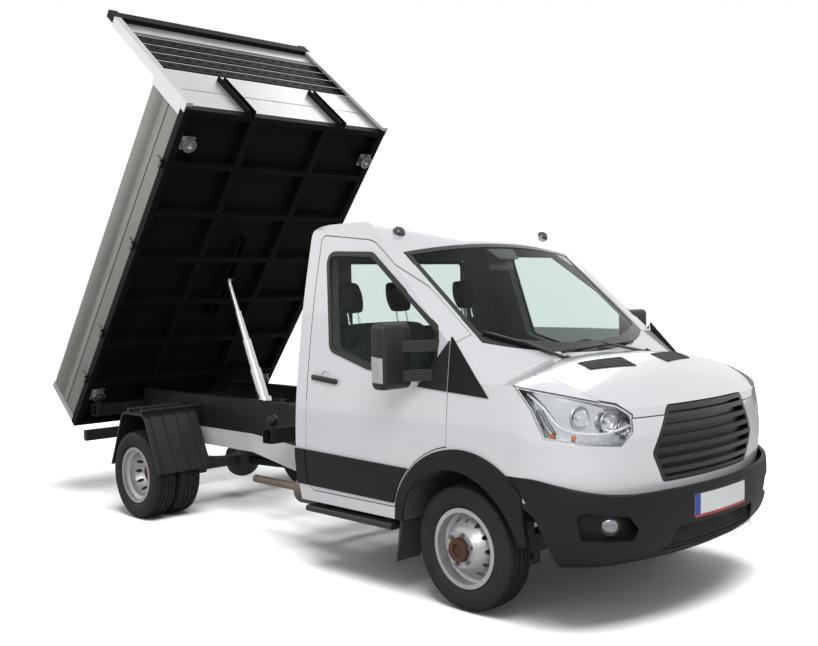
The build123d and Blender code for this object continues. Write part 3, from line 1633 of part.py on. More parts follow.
roof_lamp = (-726.0, 690.0, 2106.0)
roof_lamp_radius = 42.0
marker = Pos(*roof_lamp) * Sphere(roof_lamp_radius)
pieces["roof_lamps"] = both_sides(marker - cab_outer)

wiper_rows = [
    # pivot down the glass as a share of its length, pivot across, blade's ends likewise
    (1.03, -420.0, 0.97, -700.0, 0.90, -60.0),
    (1.05, 250.0, 1.00, -30.0, 0.94, 620.0),
]
wiper_lift = 16.0
wiper_radius = 6.0
wiper_pivot_radius = 15.0


def on_screen(down_share, across, lift):
    """Point over the windscreen, from a share of its length down and a place across."""
    sag = windscreen_bow_radius - sqrt(windscreen_bow_radius**2 - across**2)
    start = screen_plane.origin + screen_along * (screen_length * down_share)
    return start + Vector(0, across, 0) + screen_out * (lift - sag)


wipers = []
for pivot, pivot_y, low_share, low_y, high_share, high_y in wiper_rows:
    blade_low = on_screen(low_share, low_y, wiper_lift)
    blade_high = on_screen(high_share, high_y, wiper_lift)
    hub = on_screen(pivot, pivot_y, wiper_lift)
    middle = (blade_low + blade_high) * 0.5
    wipers.append(rod(blade_low, blade_high, wiper_radius))
    wipers.append(rod(hub, middle + screen_out * wiper_radius, wiper_radius))
    wipers.append(
        rod(hub - Vector(0, 0, 2 * overrun), hub + Vector(0, 0, wiper_radius), wiper_pivot_radius)
    )
wiper = wipers[0]
for item in wipers[1:]:
    wiper = wiper + item
pieces["wipers"] = wiper - cab_outer

# Everything moves along X so that the origin lies under the middle of the truck's box
low = min(piece.bounding_box().min.X for piece in pieces.values())
high = max(piece.bounding_box().max.X for piece in pieces.values())
shift = -(low + high) / 2
os.makedirs("parts", exist_ok=True)
for name, piece in pieces.items():
    export_step(Pos(shift, 0, 0) * piece, f"parts/{name}.step")
print("shift along X", round(shift, 3), "pieces", len(pieces))
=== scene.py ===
import math

import bpy
from mathutils import Matrix, Vector


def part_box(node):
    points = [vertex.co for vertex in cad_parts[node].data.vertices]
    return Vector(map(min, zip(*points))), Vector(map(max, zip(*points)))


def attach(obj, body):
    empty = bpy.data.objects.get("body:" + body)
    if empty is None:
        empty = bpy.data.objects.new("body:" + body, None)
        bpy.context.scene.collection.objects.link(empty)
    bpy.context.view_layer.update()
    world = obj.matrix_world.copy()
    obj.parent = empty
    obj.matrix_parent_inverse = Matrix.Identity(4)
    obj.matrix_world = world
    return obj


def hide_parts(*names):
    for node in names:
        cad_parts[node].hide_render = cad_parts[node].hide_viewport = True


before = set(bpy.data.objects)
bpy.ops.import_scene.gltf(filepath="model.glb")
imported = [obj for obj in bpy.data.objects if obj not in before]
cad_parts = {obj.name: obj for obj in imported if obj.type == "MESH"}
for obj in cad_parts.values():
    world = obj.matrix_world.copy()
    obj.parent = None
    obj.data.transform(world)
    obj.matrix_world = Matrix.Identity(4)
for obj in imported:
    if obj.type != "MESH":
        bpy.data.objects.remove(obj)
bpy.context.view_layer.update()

# Floor, light and camera: a white studio floor that keeps the truck's soft shadow, with a painted shadow
# round the truck besides: a glow seen only by the camera is weakest at the truck's footprint and rises
# to plain white away from it. A wide soft light on the truck's near side, two weaker ones, one for the
# floor alone, and a camera at the photograph's place and angle.


def deselect():
    """Leaves nothing selected."""
    if bpy.context.object and bpy.context.object.mode != "OBJECT":
        bpy.ops.object.mode_set(mode="OBJECT")
    bpy.ops.object.select_all(action="DESELECT")


def added_node(tree, kind, inputs=None, operation=None):
    """New node in a material's or the world's tree, with its operation and its fixed inputs."""
    node = tree.nodes.new(f"ShaderNode{kind}")
    if operation:
        node.operation = operation
    for socket, value in (inputs or {}).items():
        node.inputs[socket].default_value = value
    return node


floor_size = 60
lit_tone, seen_tone = (0.26, 0.26, 0.26, 1), (0.98, 0.98, 0.98, 1)
footprint = (3.0, 1.0, 0)
painted_shadow_reach, glow_past_painted_shadow = 2.2, 0.75
deselect()
bpy.ops.mesh.primitive_plane_add(size=floor_size, location=(0, 0, 0))
floor = bpy.context.object
floor.name = "studio_floor"
floor_paint = bpy.data.materials.new("studio_floor")
floor_paint.use_nodes = True
tree = floor_paint.node_tree
shader = tree.nodes["Principled BSDF"]
shader.inputs["Roughness"].default_value = 0.9
shader.inputs["Emission Color"].default_value = (1, 1, 1, 1)
ray = added_node(tree, "LightPath")
tone = added_node(tree, "MixRGB", {"Color1": lit_tone, "Color2": seen_tone})
floor_place = added_node(tree, "TexCoord")
from_middle = added_node(tree, "VectorMath", operation="ABSOLUTE")
past_truck = added_node(tree, "VectorMath", {1: footprint}, "SUBTRACT")
outside = added_node(tree, "VectorMath", operation="MAXIMUM")
far = added_node(tree, "VectorMath", operation="LENGTH")
# Painted shadow: the camera-only glow is nil at the truck's footprint and reaches full strength this far
# out, so the floor next to the truck is painted darker.
painted_shadow_fade = added_node(tree, "MapRange", {"From Max": painted_shadow_reach, "To Max": glow_past_painted_shadow})
painted_shadow_fade.interpolation_type = "SMOOTHSTEP"
glow = added_node(tree, "Math", operation="MULTIPLY")
for output, socket in (
    (ray.outputs["Is Camera Ray"], tone.inputs["Fac"]),
    (tone.outputs["Color"], shader.inputs["Base Color"]),
    (floor_place.outputs["Object"], from_middle.inputs[0]),
    (from_middle.outputs[0], past_truck.inputs[0]),
    (past_truck.outputs[0], outside.inputs[0]),
    (outside.outputs[0], far.inputs[0]),
    (far.outputs["Value"], painted_shadow_fade.inputs["Value"]),
    (ray.outputs["Is Camera Ray"], glow.inputs[0]),
    (painted_shadow_fade.outputs["Result"], glow.inputs[1]),
    (glow.outputs[0], shader.inputs["Emission Strength"]),
):
    tree.links.new(output, socket)
floor.data.materials.append(floor_paint)

world = bpy.data.worlds.new("studio")
bpy.context.scene.world = world
world.use_nodes = True
tree = world.node_tree
room = tree.nodes["Background"]
room.inputs["Color"].default_value = (0.90, 0.93, 0.97, 1)
room.inputs["Strength"].default_value = 0.56
backdrop = added_node(tree, "Background", {"Color": (1, 1, 1, 1), "Strength": 1.0})
ray = added_node(tree, "LightPath")
direct = added_node(tree, "Math", operation="MAXIMUM")
in_view = added_node(tree, "Math", operation="MAXIMUM")
pick = added_node(tree, "MixShader")
for output, socket in (
    (ray.outputs["Is Camera Ray"], direct.inputs[0]),
    (ray.outputs["Is Transmission Ray"], direct.inputs[1]),
    (ray.outputs["Is Glossy Ray"], in_view.inputs[0]),
    (direct.outputs[0], in_view.inputs[1]),
    (in_view.outputs[0], pick.inputs["Fac"]),
    (room.outputs[0], pick.inputs[1]),
    (backdrop.outputs[0], pick.inputs[2]),
    (pick.outputs[0], tree.nodes["World Output"].inputs["Surface"]),
):
    tree.links.new(output, socket)
bpy.context.scene.view_settings.view_transform = "Standard"


def lamp(name, place, target, size, power):
    """Square soft light at a place, turned to a point."""
    light = bpy.data.lights.new(name, "AREA")
    light.size = size
    light.energy = power
    holder = bpy.data.objects.new(name, light)
    bpy.context.collection.objects.link(holder)
    holder.location = place
    holder.rotation_euler = (Vector(target) - Vector(place)).to_track_quat("-Z", "Y").to_euler()
    return holder


truck_lamps = (
    lamp("key", (8.5, -8, 8), (0, 0, 1.2), 6, 640),
    lamp("side", (-9, -6, 6), (-1, 0, 1.5), 5, 60),
    lamp("back", (-4, 8, 8), (0, 0, 1.5), 6, 220),
)
floor_lamp = lamp("floor_lamp", (3.5, -1.2, 9), (0.5, 0, 0), 7, 2000)
for name, holders, state in (
    ("floor_only", (floor_lamp,), "INCLUDE"),
    ("all_but_floor", truck_lamps, "EXCLUDE"),
):
    group = bpy.data.collections.new(name)
    group.objects.link(floor)
    group.collection_objects[0].light_linking.link_state = state
    for holder in holders:
        holder.light_linking.receiver_collection = group

# Places along the truck are written from its front axle, which lies this far ahead of the origin.
front_axle = 2.014157
eye = Vector((3.7055 + front_axle, -4.8494, 1.7553))
yaw, dip, lean = math.radians(46.352), math.radians(1.872), math.radians(-1.4145)
ahead = Vector((-math.sin(yaw) * math.cos(dip), math.cos(yaw) * math.cos(dip), -math.sin(dip)))
level = Vector((math.cos(yaw), math.sin(yaw), 0))
above = level.cross(ahead)
right = level * math.cos(lean) + above * math.sin(lean)
top = above * math.cos(lean) - level * math.sin(lean)
camera = bpy.data.cameras.new("photo_camera")
camera.lens = 43.857
camera.sensor_width = 36
camera_holder = bpy.data.objects.new("photo_camera", camera)
bpy.context.collection.objects.link(camera_holder)
aim = Matrix((right, top, -ahead)).transposed().to_4x4()
camera_holder.matrix_world = Matrix.Translation(eye) @ aim
bpy.context.scene.camera = camera_holder

# Chassis rails, white painted channel steel with a thin film of road dust, carried from the cab to
# the rear lamp bar.
dust_brown = (0.34, 0.31, 0.27, 1)
dust_top, dust_foot = 1.2, 0.2
rough_spread = 0.08
crease_angle = math.radians(32)


def coated(
    name, colour, rough=0.4, metal=0.0, grain=60.0, shade=0.12, bump=0.05, coat=0.0, dust=0.0, shine=0.5
):
    """Surface whose colour, roughness and grain vary a little over the piece, with dust low down."""
    paint = bpy.data.materials.new(name)
    paint.use_nodes = True
    tree = paint.node_tree
    link = tree.links.new
    shader = tree.nodes["Principled BSDF"]
    place = added_node(tree, "TexCoord").outputs["Object"]
    cloud = added_node(tree, "TexNoise", {"Scale": 3.5, "Detail": 6})
    fine = added_node(tree, "TexNoise", {"Scale": grain, "Detail": 3})
    link(place, cloud.inputs["Vector"])
    link(place, fine.inputs["Vector"])
    tone = added_node(tree, "ValToRGB")
    for end, position, share in zip(tone.color_ramp.elements, (0.3, 0.7), (1 - shade, 1 + shade)):
        end.position = position
        end.color = (*[min(1, part * share) for part in colour], 1)
    link(cloud.outputs["Fac"], tone.inputs["Fac"])
    last = tone.outputs["Color"]
    if dust:
        height = added_node(tree, "SeparateXYZ")
        low = added_node(tree, "MapRange", {"From Min": dust_top, "From Max": dust_foot, "To Max": dust})
        patchy = added_node(tree, "Math", operation="MULTIPLY")
        film = added_node(tree, "MixRGB", {"Color2": dust_brown})
        link(place, height.inputs[0])
        link(height.outputs["Z"], low.inputs["Value"])
        link(low.outputs["Result"], patchy.inputs[0])
        link(cloud.outputs["Fac"], patchy.inputs[1])
        link(patchy.outputs[0], film.inputs["Fac"])
        link(last, film.inputs["Color1"])
        last = film.outputs["Color"]
    link(last, shader.inputs["Base Color"])
    smoothest, roughest = max(0.02, rough - rough_spread), min(1, rough + rough_spread)
    spread = added_node(tree, "MapRange", {"To Min": smoothest, "To Max": roughest})
    link(cloud.outputs["Fac"], spread.inputs["Value"])
    link(spread.outputs["Result"], shader.inputs["Roughness"])
    if bump:
        relief = added_node(tree, "Bump", {"Strength": bump, "Distance": 0.001})
        link(fine.outputs["Fac"], relief.inputs["Height"])
        link(relief.outputs["Normal"], shader.inputs["Normal"])
    shader.inputs["Metallic"].default_value = metal
    shader.inputs["Specular IOR Level"].default_value = shine
    if coat:
        shader.inputs["Coat Weight"].default_value = coat
        shader.inputs["Coat Roughness"].default_value = 0.05
    return paint


def edit_all():
    """Opens the piece being shaped in edit mode, with all of it selected."""
    bpy.ops.object.mode_set(mode="EDIT")
    bpy.ops.mesh.select_all(action="SELECT")


def smoothed(node, body, paint):
    """Copy of a CAD piece with its loose triangles joined, so that its curves shade evenly."""
    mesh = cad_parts[node].data.copy()
    piece = bpy.data.objects.new(node + "_skin", mesh)
    bpy.context.collection.objects.link(piece)
    mesh.materials.clear()
    mesh.materials.append(paint)
    deselect()
    piece.select_set(True)
    bpy.context.view_layer.objects.active = piece
    edit_all()
    bpy.ops.mesh.remove_doubles(threshold=0.00002)
    if mesh.has_custom_normals:
        bpy.ops.mesh.customdata_custom_splitnormals_clear()
    bpy.ops.object.mode_set(mode="OBJECT")
    bpy.ops.object.shade_smooth_by_angle(angle=crease_angle)
    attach(piece, body)
    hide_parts(node)
    return piece


frame_white = coated("frame_white", (0.70, 0.70, 0.69), 0.40, dust=0.12)
smoothed("chassis_rails", "chassis", frame_white)

# Tipper subframe: black painted steel channels bolted on the rails, with two cross beams that end in
# the hinge balls, and the cradle of the lift cylinder between them.
frame_black = coated("frame_black", (0.010, 0.010, 0.011), 0.42, shade=0.25, dust=0.05, shine=0.3)
smoothed("tipper_subframe", "chassis", frame_black)

# Cab shell, doors and bonnet: pressed steel panels under white gloss paint, with a clear coat over
# it. The doors and the bonnet hang on the shell.
cab_paint = coated("cab_paint", (0.765, 0.772, 0.785), 0.22, shade=0.02, bump=0.0, coat=1.0, dust=0.12)
shell = smoothed("cab_shell", "chassis", cab_paint)
left_door = smoothed("door_left", "left_door", cab_paint)
right_door = smoothed("door_right", "right_door", cab_paint)
bonnet = smoothed("bonnet", "front_bonnet", cab_paint)

# Inside faces of the shell and doors: grey trim board clipped in the cabin, black liners pressed into
# the wheel arches and black sealant under the floor. Each face is told by its place and its normal.
trim_grey = coated("trim_grey", (0.075, 0.078, 0.082), 0.7, grain=500, bump=0.2, shade=0.1)
liner_black = coated("liner_black", (0.016, 0.016, 0.017), 0.75, grain=260, bump=0.4, shade=0.25, dust=0.4)
cabin_middle = Vector((-0.60 + front_axle, 0, 1.35))
cabin_rear, cabin_front, cabin_floor, cabin_side = -1.36, 0.25, 0.62, 0.99
scuttle_rear = 0.02
wheel_height, arch_radius, arch_inner = 0.345, 0.458, 0.50
under_front, under_top, under_side = 0.3, 0.60, 0.95
skin_slack, flat_up, flat_down = 0.004, 0.5, 0.1
for piece in (shell, left_door, right_door):
    piece.data.materials.append(trim_grey)
    piece.data.materials.append(liner_black)
    for face in piece.data.polygons:
        place, normal = face.center, face.normal
        x, y, z = place.x - front_axle, abs(place.y), place.z
        in_arch = math.hypot(x, z - wheel_height) < arch_radius and y > arch_inner
        in_cabin = cabin_rear < x < cabin_front and z > cabin_floor and y < cabin_side
        on_scuttle = x > scuttle_rear and normal.z > flat_up
        underneath = z < under_top and y < under_side and x < under_front and normal.z < flat_down
        if in_arch and normal.y * place.y <= skin_slack:
            face.material_index = 2
        elif in_cabin and normal.dot(cabin_middle - place) > 0 and not on_scuttle:
            face.material_index = 1
        elif underneath:
            face.material_index = 2

# Bonnet vents: two black plastic panels let into the bonnet's rear half, each with a row of slats
# across it. Their outline follows the bonnet's crown.


def on_skin(piece, start, way, lift=0.0):
    """Point where a line meets a piece, lifted off it along its normal, and that normal."""
    hit, place, normal, _ = piece.ray_cast(Vector(start), Vector(way).normalized())
    if not hit:
        return Vector(start), Vector(way) * -1
    if normal.dot(Vector(way)) > 0:
        normal = -normal
    return place + normal * lift, normal


def worked(piece, kind, **settings):
    """Shapes a piece with a modifier, and applies it."""
    step = piece.modifiers.new("step", kind)
    for name, value in settings.items():
        setattr(step, name, value)
    bpy.ops.object.modifier_apply(modifier=step.name)


def walled(piece, wall):
    """Thickens a skin by half its wall to each side, and turns its faces outwards."""
    worked(piece, "SOLIDIFY", thickness=wall, offset=0)
    edit_all()
    bpy.ops.mesh.normals_make_consistent(inside=False)
    bpy.ops.object.mode_set(mode="OBJECT")


run_up = 0.5


def patch(name, piece, corners, steps, way, lift, wall, paint):
    """Thin panel laid on a piece: a grid between four corners, dropped on the skin and thickened."""
    deselect()
    bpy.ops.mesh.primitive_grid_add(x_subdivisions=steps[0], y_subdivisions=steps[1], size=2)
    panel = bpy.context.object
    panel.name = name
    for vert in panel.data.vertices:
        u, v = (vert.co.x + 1) / 2, (vert.co.y + 1) / 2
        low = Vector(corners[0]).lerp(Vector(corners[1]), u)
        high = Vector(corners[3]).lerp(Vector(corners[2]), u)
        vert.co = on_skin(piece, low.lerp(high, v) - Vector(way) * run_up, way, lift)[0]
    panel.data.materials.append(paint)
    walled(panel, wall)
    return panel


sides = ((1, "left"), (-1, "right"))
down = (0, 0, -1)
vent_black = coated("vent_black", (0.012, 0.012, 0.013), 0.5, grain=700, bump=0.2)
vent_corners = ((0.492, 0.145, 1.6), (0.444, 0.492, 1.6), (0.536, 0.500, 1.6), (0.598, 0.158, 1.6))
slat_count = 7
slat_low_share, slat_high_share, slat_trim_share = 0.25, 0.7, 0.04
vent_lift, vent_wall, slat_lift, slat_wall = 0.002, 0.004, 0.0055, 0.003
for side, word in sides:
    outline = [Vector((x + front_axle, side * y, z)) for x, y, z in vent_corners]
    base = patch(f"bonnet_vent_{word}", bonnet, outline, (18, 5), down, vent_lift, vent_wall, vent_black)
    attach(base, "front_bonnet")
    for k in range(slat_count):
        low, high = (k + slat_low_share) / slat_count, (k + slat_high_share) / slat_count
        rear = [outline[0].lerp(outline[3], t) for t in (low, high)]
        front = [outline[1].lerp(outline[2], t) for t in (low, high)]
        quad = (
            rear[0].lerp(front[0], slat_trim_share),
            front[0].lerp(rear[0], slat_trim_share),
            front[1].lerp(rear[1], slat_trim_share),
            rear[1].lerp(front[1], slat_trim_share),
        )
        name = f"vent_slat_{word}_{k}"
        slat = patch(name, bonnet, quad, (10, 2), down, slat_lift, slat_wall, vent_black)
        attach(slat, "front_bonnet")

# Windows: green-tinted safety glass, bonded into the shell at the front and the rear and held in the
# door frames at the sides.


def clear(name, colour, bend):
    """Polished glass or plastic that light goes through, with a tint of its own."""
    pane = bpy.data.materials.new(name)
    pane.use_nodes = True
    shader = pane.node_tree.nodes["Principled BSDF"]
    shader.inputs["Base Color"].default_value = (*colour, 1)
    shader.inputs["Roughness"].default_value = 0.02
    shader.inputs["Transmission Weight"].default_value = 1.0
    shader.inputs["IOR"].default_value = bend
    return pane


tinted = clear("tinted_glass", (0.80, 0.87, 0.85), 1.1)
cab_glass = smoothed("cab_glass", "chassis", tinted)
left_glass = smoothed("door_glass_left", "left_door", tinted)
right_glass = smoothed("door_glass_right", "right_door", tinted)

# Black rubber seals round the door windows, a soft-edged band that hides the gap between glass and
# door. Each is three closed loops of points dropped on the glass and the door from outside.
seal_rubber = coated("seal_rubber", (0.008, 0.008, 0.009), 0.42, grain=300, bump=0.1)
corner_share = 0.45


def rounded(corners, radius, steps=6):
    """Closed outline in two directions with its corners rounded."""
    points = []
    count = len(corners)
    for k in range(count):
        before, here, after = (Vector(corners[(k + j) % count]) for j in (-1, 0, 1))
        back, on = before - here, after - here
        half = back.angle(on) / 2
        reach = min(radius / math.tan(half), back.length * corner_share, on.length * corner_share)
        start, end = here + back.normalized() * reach, here + on.normalized() * reach
        for j in range(steps + 1):
            t = j / steps
            points.append(start * (1 - t) ** 2 + here * 2 * t * (1 - t) + end * t**2)
    return points


def swollen(points, grow):
    """The same outline moved outwards along its own normals."""
    middle = sum(points, Vector((0, 0))) / len(points)
    moved = []
    for k, here in enumerate(points):
        run = (points[(k + 1) % len(points)] - points[k - 1]).normalized()
        out = Vector((run.y, -run.x))
        moved.append(here + (out if out.dot(here - middle) > 0 else -out) * grow)
    return moved


def loops_band(name, pieces, loops, to_space, way, lift, wall, paint):
    """Band through closed loops of points, dropped on the nearest of some pieces and thickened."""
    deselect()
    way = Vector(way)
    bpy.ops.mesh.primitive_circle_add(vertices=len(loops[0]), radius=1)
    band = bpy.context.object
    band.name = name
    edit_all()
    for _ in loops[1:]:
        bpy.ops.mesh.extrude_edges_move(TRANSFORM_OT_translate={"value": (0, 0, 1)})
    bpy.ops.object.mode_set(mode="OBJECT")
    rows = {}
    for vert in band.data.vertices:
        turn = math.atan2(vert.co.y, vert.co.x)
        rows.setdefault(round(vert.co.z), []).append((turn % (2 * math.pi), vert.index))
    for row, loop in enumerate(loops):
        ring_order = [index for _, index in sorted(rows[row])]
        for index, point in zip(ring_order, loop):
            start = to_space(point)
            best = None
            for piece in pieces:
                hit, place, normal, _ = piece.ray_cast(start, way)
                if hit and (best is None or (place - start).length < (best[0] - start).length):
                    best = (place, normal if normal.dot(way) < 0 else -normal)
            band.data.vertices[index].co = best[0] + best[1] * lift if best else start
    band.data.materials.append(paint)
    walled(band, wall)
    bpy.ops.object.shade_smooth_by_angle(angle=math.radians(40))
    return band


window_corners = (
    (-1.052, 1.405), (-1.176, 1.998), (-0.762, 1.976), (-0.150, 1.536), (-0.150, 1.255), (-0.700, 1.310)
)
window_outline = rounded(window_corners, 0.06)
window_loops = [swollen(window_outline, grow) for grow in (-0.015, 0, 0.015)]
beside = 1.4
for (side, word), door, pane in zip(sides, (left_door, right_door), (left_glass, right_glass)):
    seal = loops_band(
        f"window_seal_{word}", (door, pane), window_loops,
        lambda p: Vector((p.x + front_axle, side * beside, p.y)), (0, -side, 0),
        lift=0.004, wall=0.007, paint=seal_rubber,
    )
    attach(seal, f"{word}_door")

# Windscreen edge: a black ceramic band printed round the glass, wider along its foot where the wipers
# park.
screen_head = Vector((-0.557 + front_axle, 0, 2.050))
screen_run = Vector((0.7596, 0, -0.6504))
screen_out = Vector((0.6504, 0, 0.7596))
screen_reach = 1.0532
foot_half, foot_rise = 0.778, 0.21 * screen_reach
foot_arc = (foot_half**2 + foot_rise**2) / (2 * foot_rise)
foot_turn = math.asin(foot_half / foot_arc)
band_half, band_head_share, band_foot_share = 0.779, 0.012, 0.99
clear_of_screen = screen_out * 0.3


def screen_line(inwards, foot_inwards, steps=26):
    """Closed outline on the glass as (down the glass, across), moved inwards."""
    low = band_foot_share * screen_reach - foot_inwards
    half = band_half - inwards
    turns = [foot_turn * (2 * k / steps - 1) for k in range(steps + 1)]
    points = [(low - foot_arc * (1 - math.cos(turn)), foot_arc * math.sin(turn)) for turn in turns]
    points = [(fall, max(-half, min(half, place))) for fall, place in points]
    head = band_head_share * screen_reach + inwards
    right_side = [(head + (points[-1][0] - head) * (1 - t / 10), half) for t in range(1, 11)]
    top_edge = [(head, half * (1 - t / 6)) for t in range(1, 13)]
    left_side = [(head + (points[0][0] - head) * t / 10, -half) for t in range(1, 10)]
    return points + right_side + top_edge + left_side


frit = coated("ceramic_band", (0.008, 0.008, 0.009), 0.25, grain=900, bump=0.02, shade=0.1)
screen_band = loops_band(
    "windscreen_band", (cab_glass,),
    [screen_line(0.003, 0.004), screen_line(0.020, 0.028), screen_line(0.036, 0.085)],
    lambda p: screen_head + screen_run * p[0] + Vector((0, p[1], 0)) + clear_of_screen,
    -screen_out, lift=0.0012, wall=0.0016, paint=frit,
)
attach(screen_band, "chassis")

# Rear window: a rubber seal round the pane in the cab's back wall, over the joint between glass and
# steel.
rear_outline = rounded(((-0.560, 1.480), (0.560, 1.480), (0.560, 1.960), (-0.560, 1.960)), 0.055, 8)
behind_cab = -2.2 + front_axle
rear_seal = loops_band(
    "rear_window_seal", (cab_glass, shell),
    [swollen(rear_outline, grow) for grow in (-0.022, 0.0, 0.014)],
    lambda p: Vector((behind_cab, p.x, p.y)), (1, 0, 0), lift=0.003, wall=0.006, paint=seal_rubber,
)
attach(rear_seal, "chassis")

# Rain sensor and mirror foot: a black plastic moulding clipped to the inside of the windscreen, at the
# middle of its head.
sensor_corners = ((0.045, -0.13), (0.16, -0.09), (0.16, 0.09), (0.045, 0.13))
sensor_outline = [
    screen_head + screen_run * fall + Vector((0, place, 0)) + clear_of_screen
    for fall, place in sensor_corners
]
sensor = patch(
    "sensor_cover", cab_glass, sensor_outline, (4, 6), -screen_out, lift=-0.010, wall=0.004, paint=frit
)
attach(sensor, "chassis")

# Interior mirror: a dark plastic housing on a short round stalk under the sensor cover, with its face
# turned to the seats.


def settled(name, body, paint, angle=35):
    """Fixes a shaped piece's place in its mesh, and gives it its finish and the body it rides on."""
    piece = bpy.context.object
    piece.name = name
    bpy.ops.object.transform_apply(location=True, rotation=True, scale=True)
    piece.data.materials.clear()
    piece.data.materials.append(paint)
    bpy.ops.object.shade_smooth_by_angle(angle=math.radians(angle))
    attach(piece, body)
    return piece


def eased(width, steps=3):
    """Rounds the edges of the piece being shaped."""
    bpy.ops.object.transform_apply(location=False, rotation=False, scale=True)
    worked(bpy.context.object, "BEVEL", width=width, segments=steps)


def along(way):
    """Turn that lays a piece's own upright axis along a direction."""
    return way.to_track_quat("Z", "Y").to_euler()


def block(size, place, turn=(0, 0, 0)):
    """Starts a piece as a block."""
    deselect()
    bpy.ops.mesh.primitive_cube_add(size=1, location=place, rotation=turn)
    bpy.context.object.scale = size


def rod(radius, length, place, turn, edges=16):
    """Starts a piece as a bar with a round or many-edged section."""
    deselect()
    bpy.ops.mesh.primitive_cylinder_add(
        vertices=edges, radius=radius, depth=length, location=place, rotation=turn
    )


glass_foot = screen_head + screen_run * 0.175
mirror_size = (0.026, 0.215, 0.066)
block(mirror_size, glass_foot + Vector((-0.085, 0, -0.045)), (0, math.radians(-8), 0))
eased(0.012)
settled("interior_mirror", "chassis", frit, 50)
stalk_radius, stalk_length, stalk_way = 0.008, 0.080, Vector((1, 0, 0.45))
rod(stalk_radius, stalk_length, glass_foot + Vector((-0.048, 0, -0.018)), along(stalk_way))
settled("interior_mirror_stalk", "chassis", frit)

# Cladding: charcoal grained plastic, moulded in one colour right through and clipped along the doors
# and round the wheel arches.
grained = coated(
    "grained_charcoal", (0.0105, 0.011, 0.012), 0.5, grain=900, bump=0.2, shade=0.08, dust=0.03, shine=0.22
)
smoothed("cab_cladding", "chassis", grained)
smoothed("door_cladding_left", "left_door", grained)
smoothed("door_cladding_right", "right_door", grained)

# Bumper of the same plastic, with the number plate on its middle: a blank white plate in a black
# holder, with a plain blue strip at one end and a red one along its foot.
plate_white = coated("plate_white", (0.78, 0.79, 0.78), 0.3, bump=0.0, shade=0.03)
plate_blue = coated("plate_blue", (0.02, 0.07, 0.35), 0.3, bump=0.0, shade=0.05)
plate_red = coated("plate_red", (0.45, 0.03, 0.03), 0.3, bump=0.0, shade=0.05)
bumper = smoothed("front_bumper", "chassis", grained)
ahead_of_nose = 1.3 + front_axle
sheet_wall = 0.0012
plate_sheets = (
    # name, two ends across, foot and head, lift off the bumper, paint, slot
    ("plate_holder", -0.270, 0.270, 0.540, 0.672, 0.0006, liner_black, "black_plastic"),
    ("plate_field", -0.258, 0.258, 0.553, 0.663, 0.0016, plate_white, "white_paint"),
    ("plate_strip", -0.258, -0.215, 0.553, 0.663, 0.0026, plate_blue, "black_plastic"),
    ("plate_foot", -0.258, 0.258, 0.541, 0.555, 0.0026, plate_red, "black_plastic"),
)
for name, y0, y1, z0, z1, lift, paint, slot in plate_sheets:
    corners = [Vector((ahead_of_nose, y, z)) for y, z in ((y0, z0), (y1, z0), (y1, z1), (y0, z1))]
    plate = patch(name, bumper, corners, (12, 2), (-1, 0, 0), lift, sheet_wall, paint)
    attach(plate, "chassis")

# Cooling intake under the plate: a moulded black plastic lattice on the bumper's inner face, with a
# plain liner behind it. Both are bowed as the bumper is.
lattice_black = coated("lattice_black", (0.010, 0.010, 0.011), 0.45, grain=600, bump=0.1)
intake_front, intake_half, intake_middle, intake_rise = 1.012 + front_axle, 0.46, 0.455, 0.068
nose_bow = 4.4
for name, back, cells, rows, wire in (
    ("intake_lattice", 0.034, 40, 6, 0.005),
    ("intake_liner", 0.075, 12, 2, 0),
):
    deselect()
    bpy.ops.mesh.primitive_grid_add(x_subdivisions=cells, y_subdivisions=rows, size=2)
    lattice = bpy.context.object
    for vert in lattice.data.vertices:
        y, z = vert.co.x * intake_half, intake_middle + vert.co.y * intake_rise
        vert.co = (intake_front - back - y * y / nose_bow, y, z)
    if wire:
        worked(lattice, "WIREFRAME", thickness=wire)
    else:
        worked(lattice, "SOLIDIFY", thickness=0.003)
    settled(name, "chassis", lattice_black)

# Fog lamps: a round clear lamp in a dark plastic ring, screwed to the back of each bumper recess and
# turned outwards at half a right angle.
fog_glass = coated("fog_glass", (0.30, 0.31, 0.33), 0.08, metal=0.6, bump=0.0, shade=0.1, coat=1.0)
corner_out = Vector((math.sqrt(0.5), -math.sqrt(0.5), 0))
corner_run = Vector((math.sqrt(0.5), math.sqrt(0.5), 0))
outside_nose = 1.7
fog_across, fog_height, fog_radius, fog_back = 0.045, 0.562, 0.044, 0.006


def from_corner(across, height, side):
    """Point well outside the nose on the headlamp's line of view, for the truck's right or left."""
    place = corner_out * outside_nose + corner_run * across + Vector((front_axle, 0, height))
    return Vector((place.x, -side * place.y, place.z))


def ring(radius, bar, place, turn, segments=48):
    """Starts a piece as a round ring of a bar."""
    deselect()
    bpy.ops.mesh.primitive_torus_add(
        major_radius=radius, minor_radius=bar, major_segments=segments, location=place, rotation=turn
    )


for side, word in sides:
    inward = Vector((-corner_out.x, side * corner_out.y, 0))
    spot, _ = on_skin(bumper, from_corner(fog_across, fog_height, side), inward)
    fog_place = spot - inward * fog_back
    deselect()
    bpy.ops.mesh.primitive_uv_sphere_add(segments=32, ring_count=16, radius=fog_radius, location=fog_place)
    lamp_lens = bpy.context.object
    lamp_lens.rotation_euler = along(inward)
    lamp_lens.scale = (1, 1, 0.4)
    settled(f"fog_lamp_{word}", "chassis", fog_glass)
    ring(fog_radius + 0.005, bar=0.006, place=fog_place, turn=along(inward))
    settled(f"fog_ring_{word}", "chassis", lattice_black)

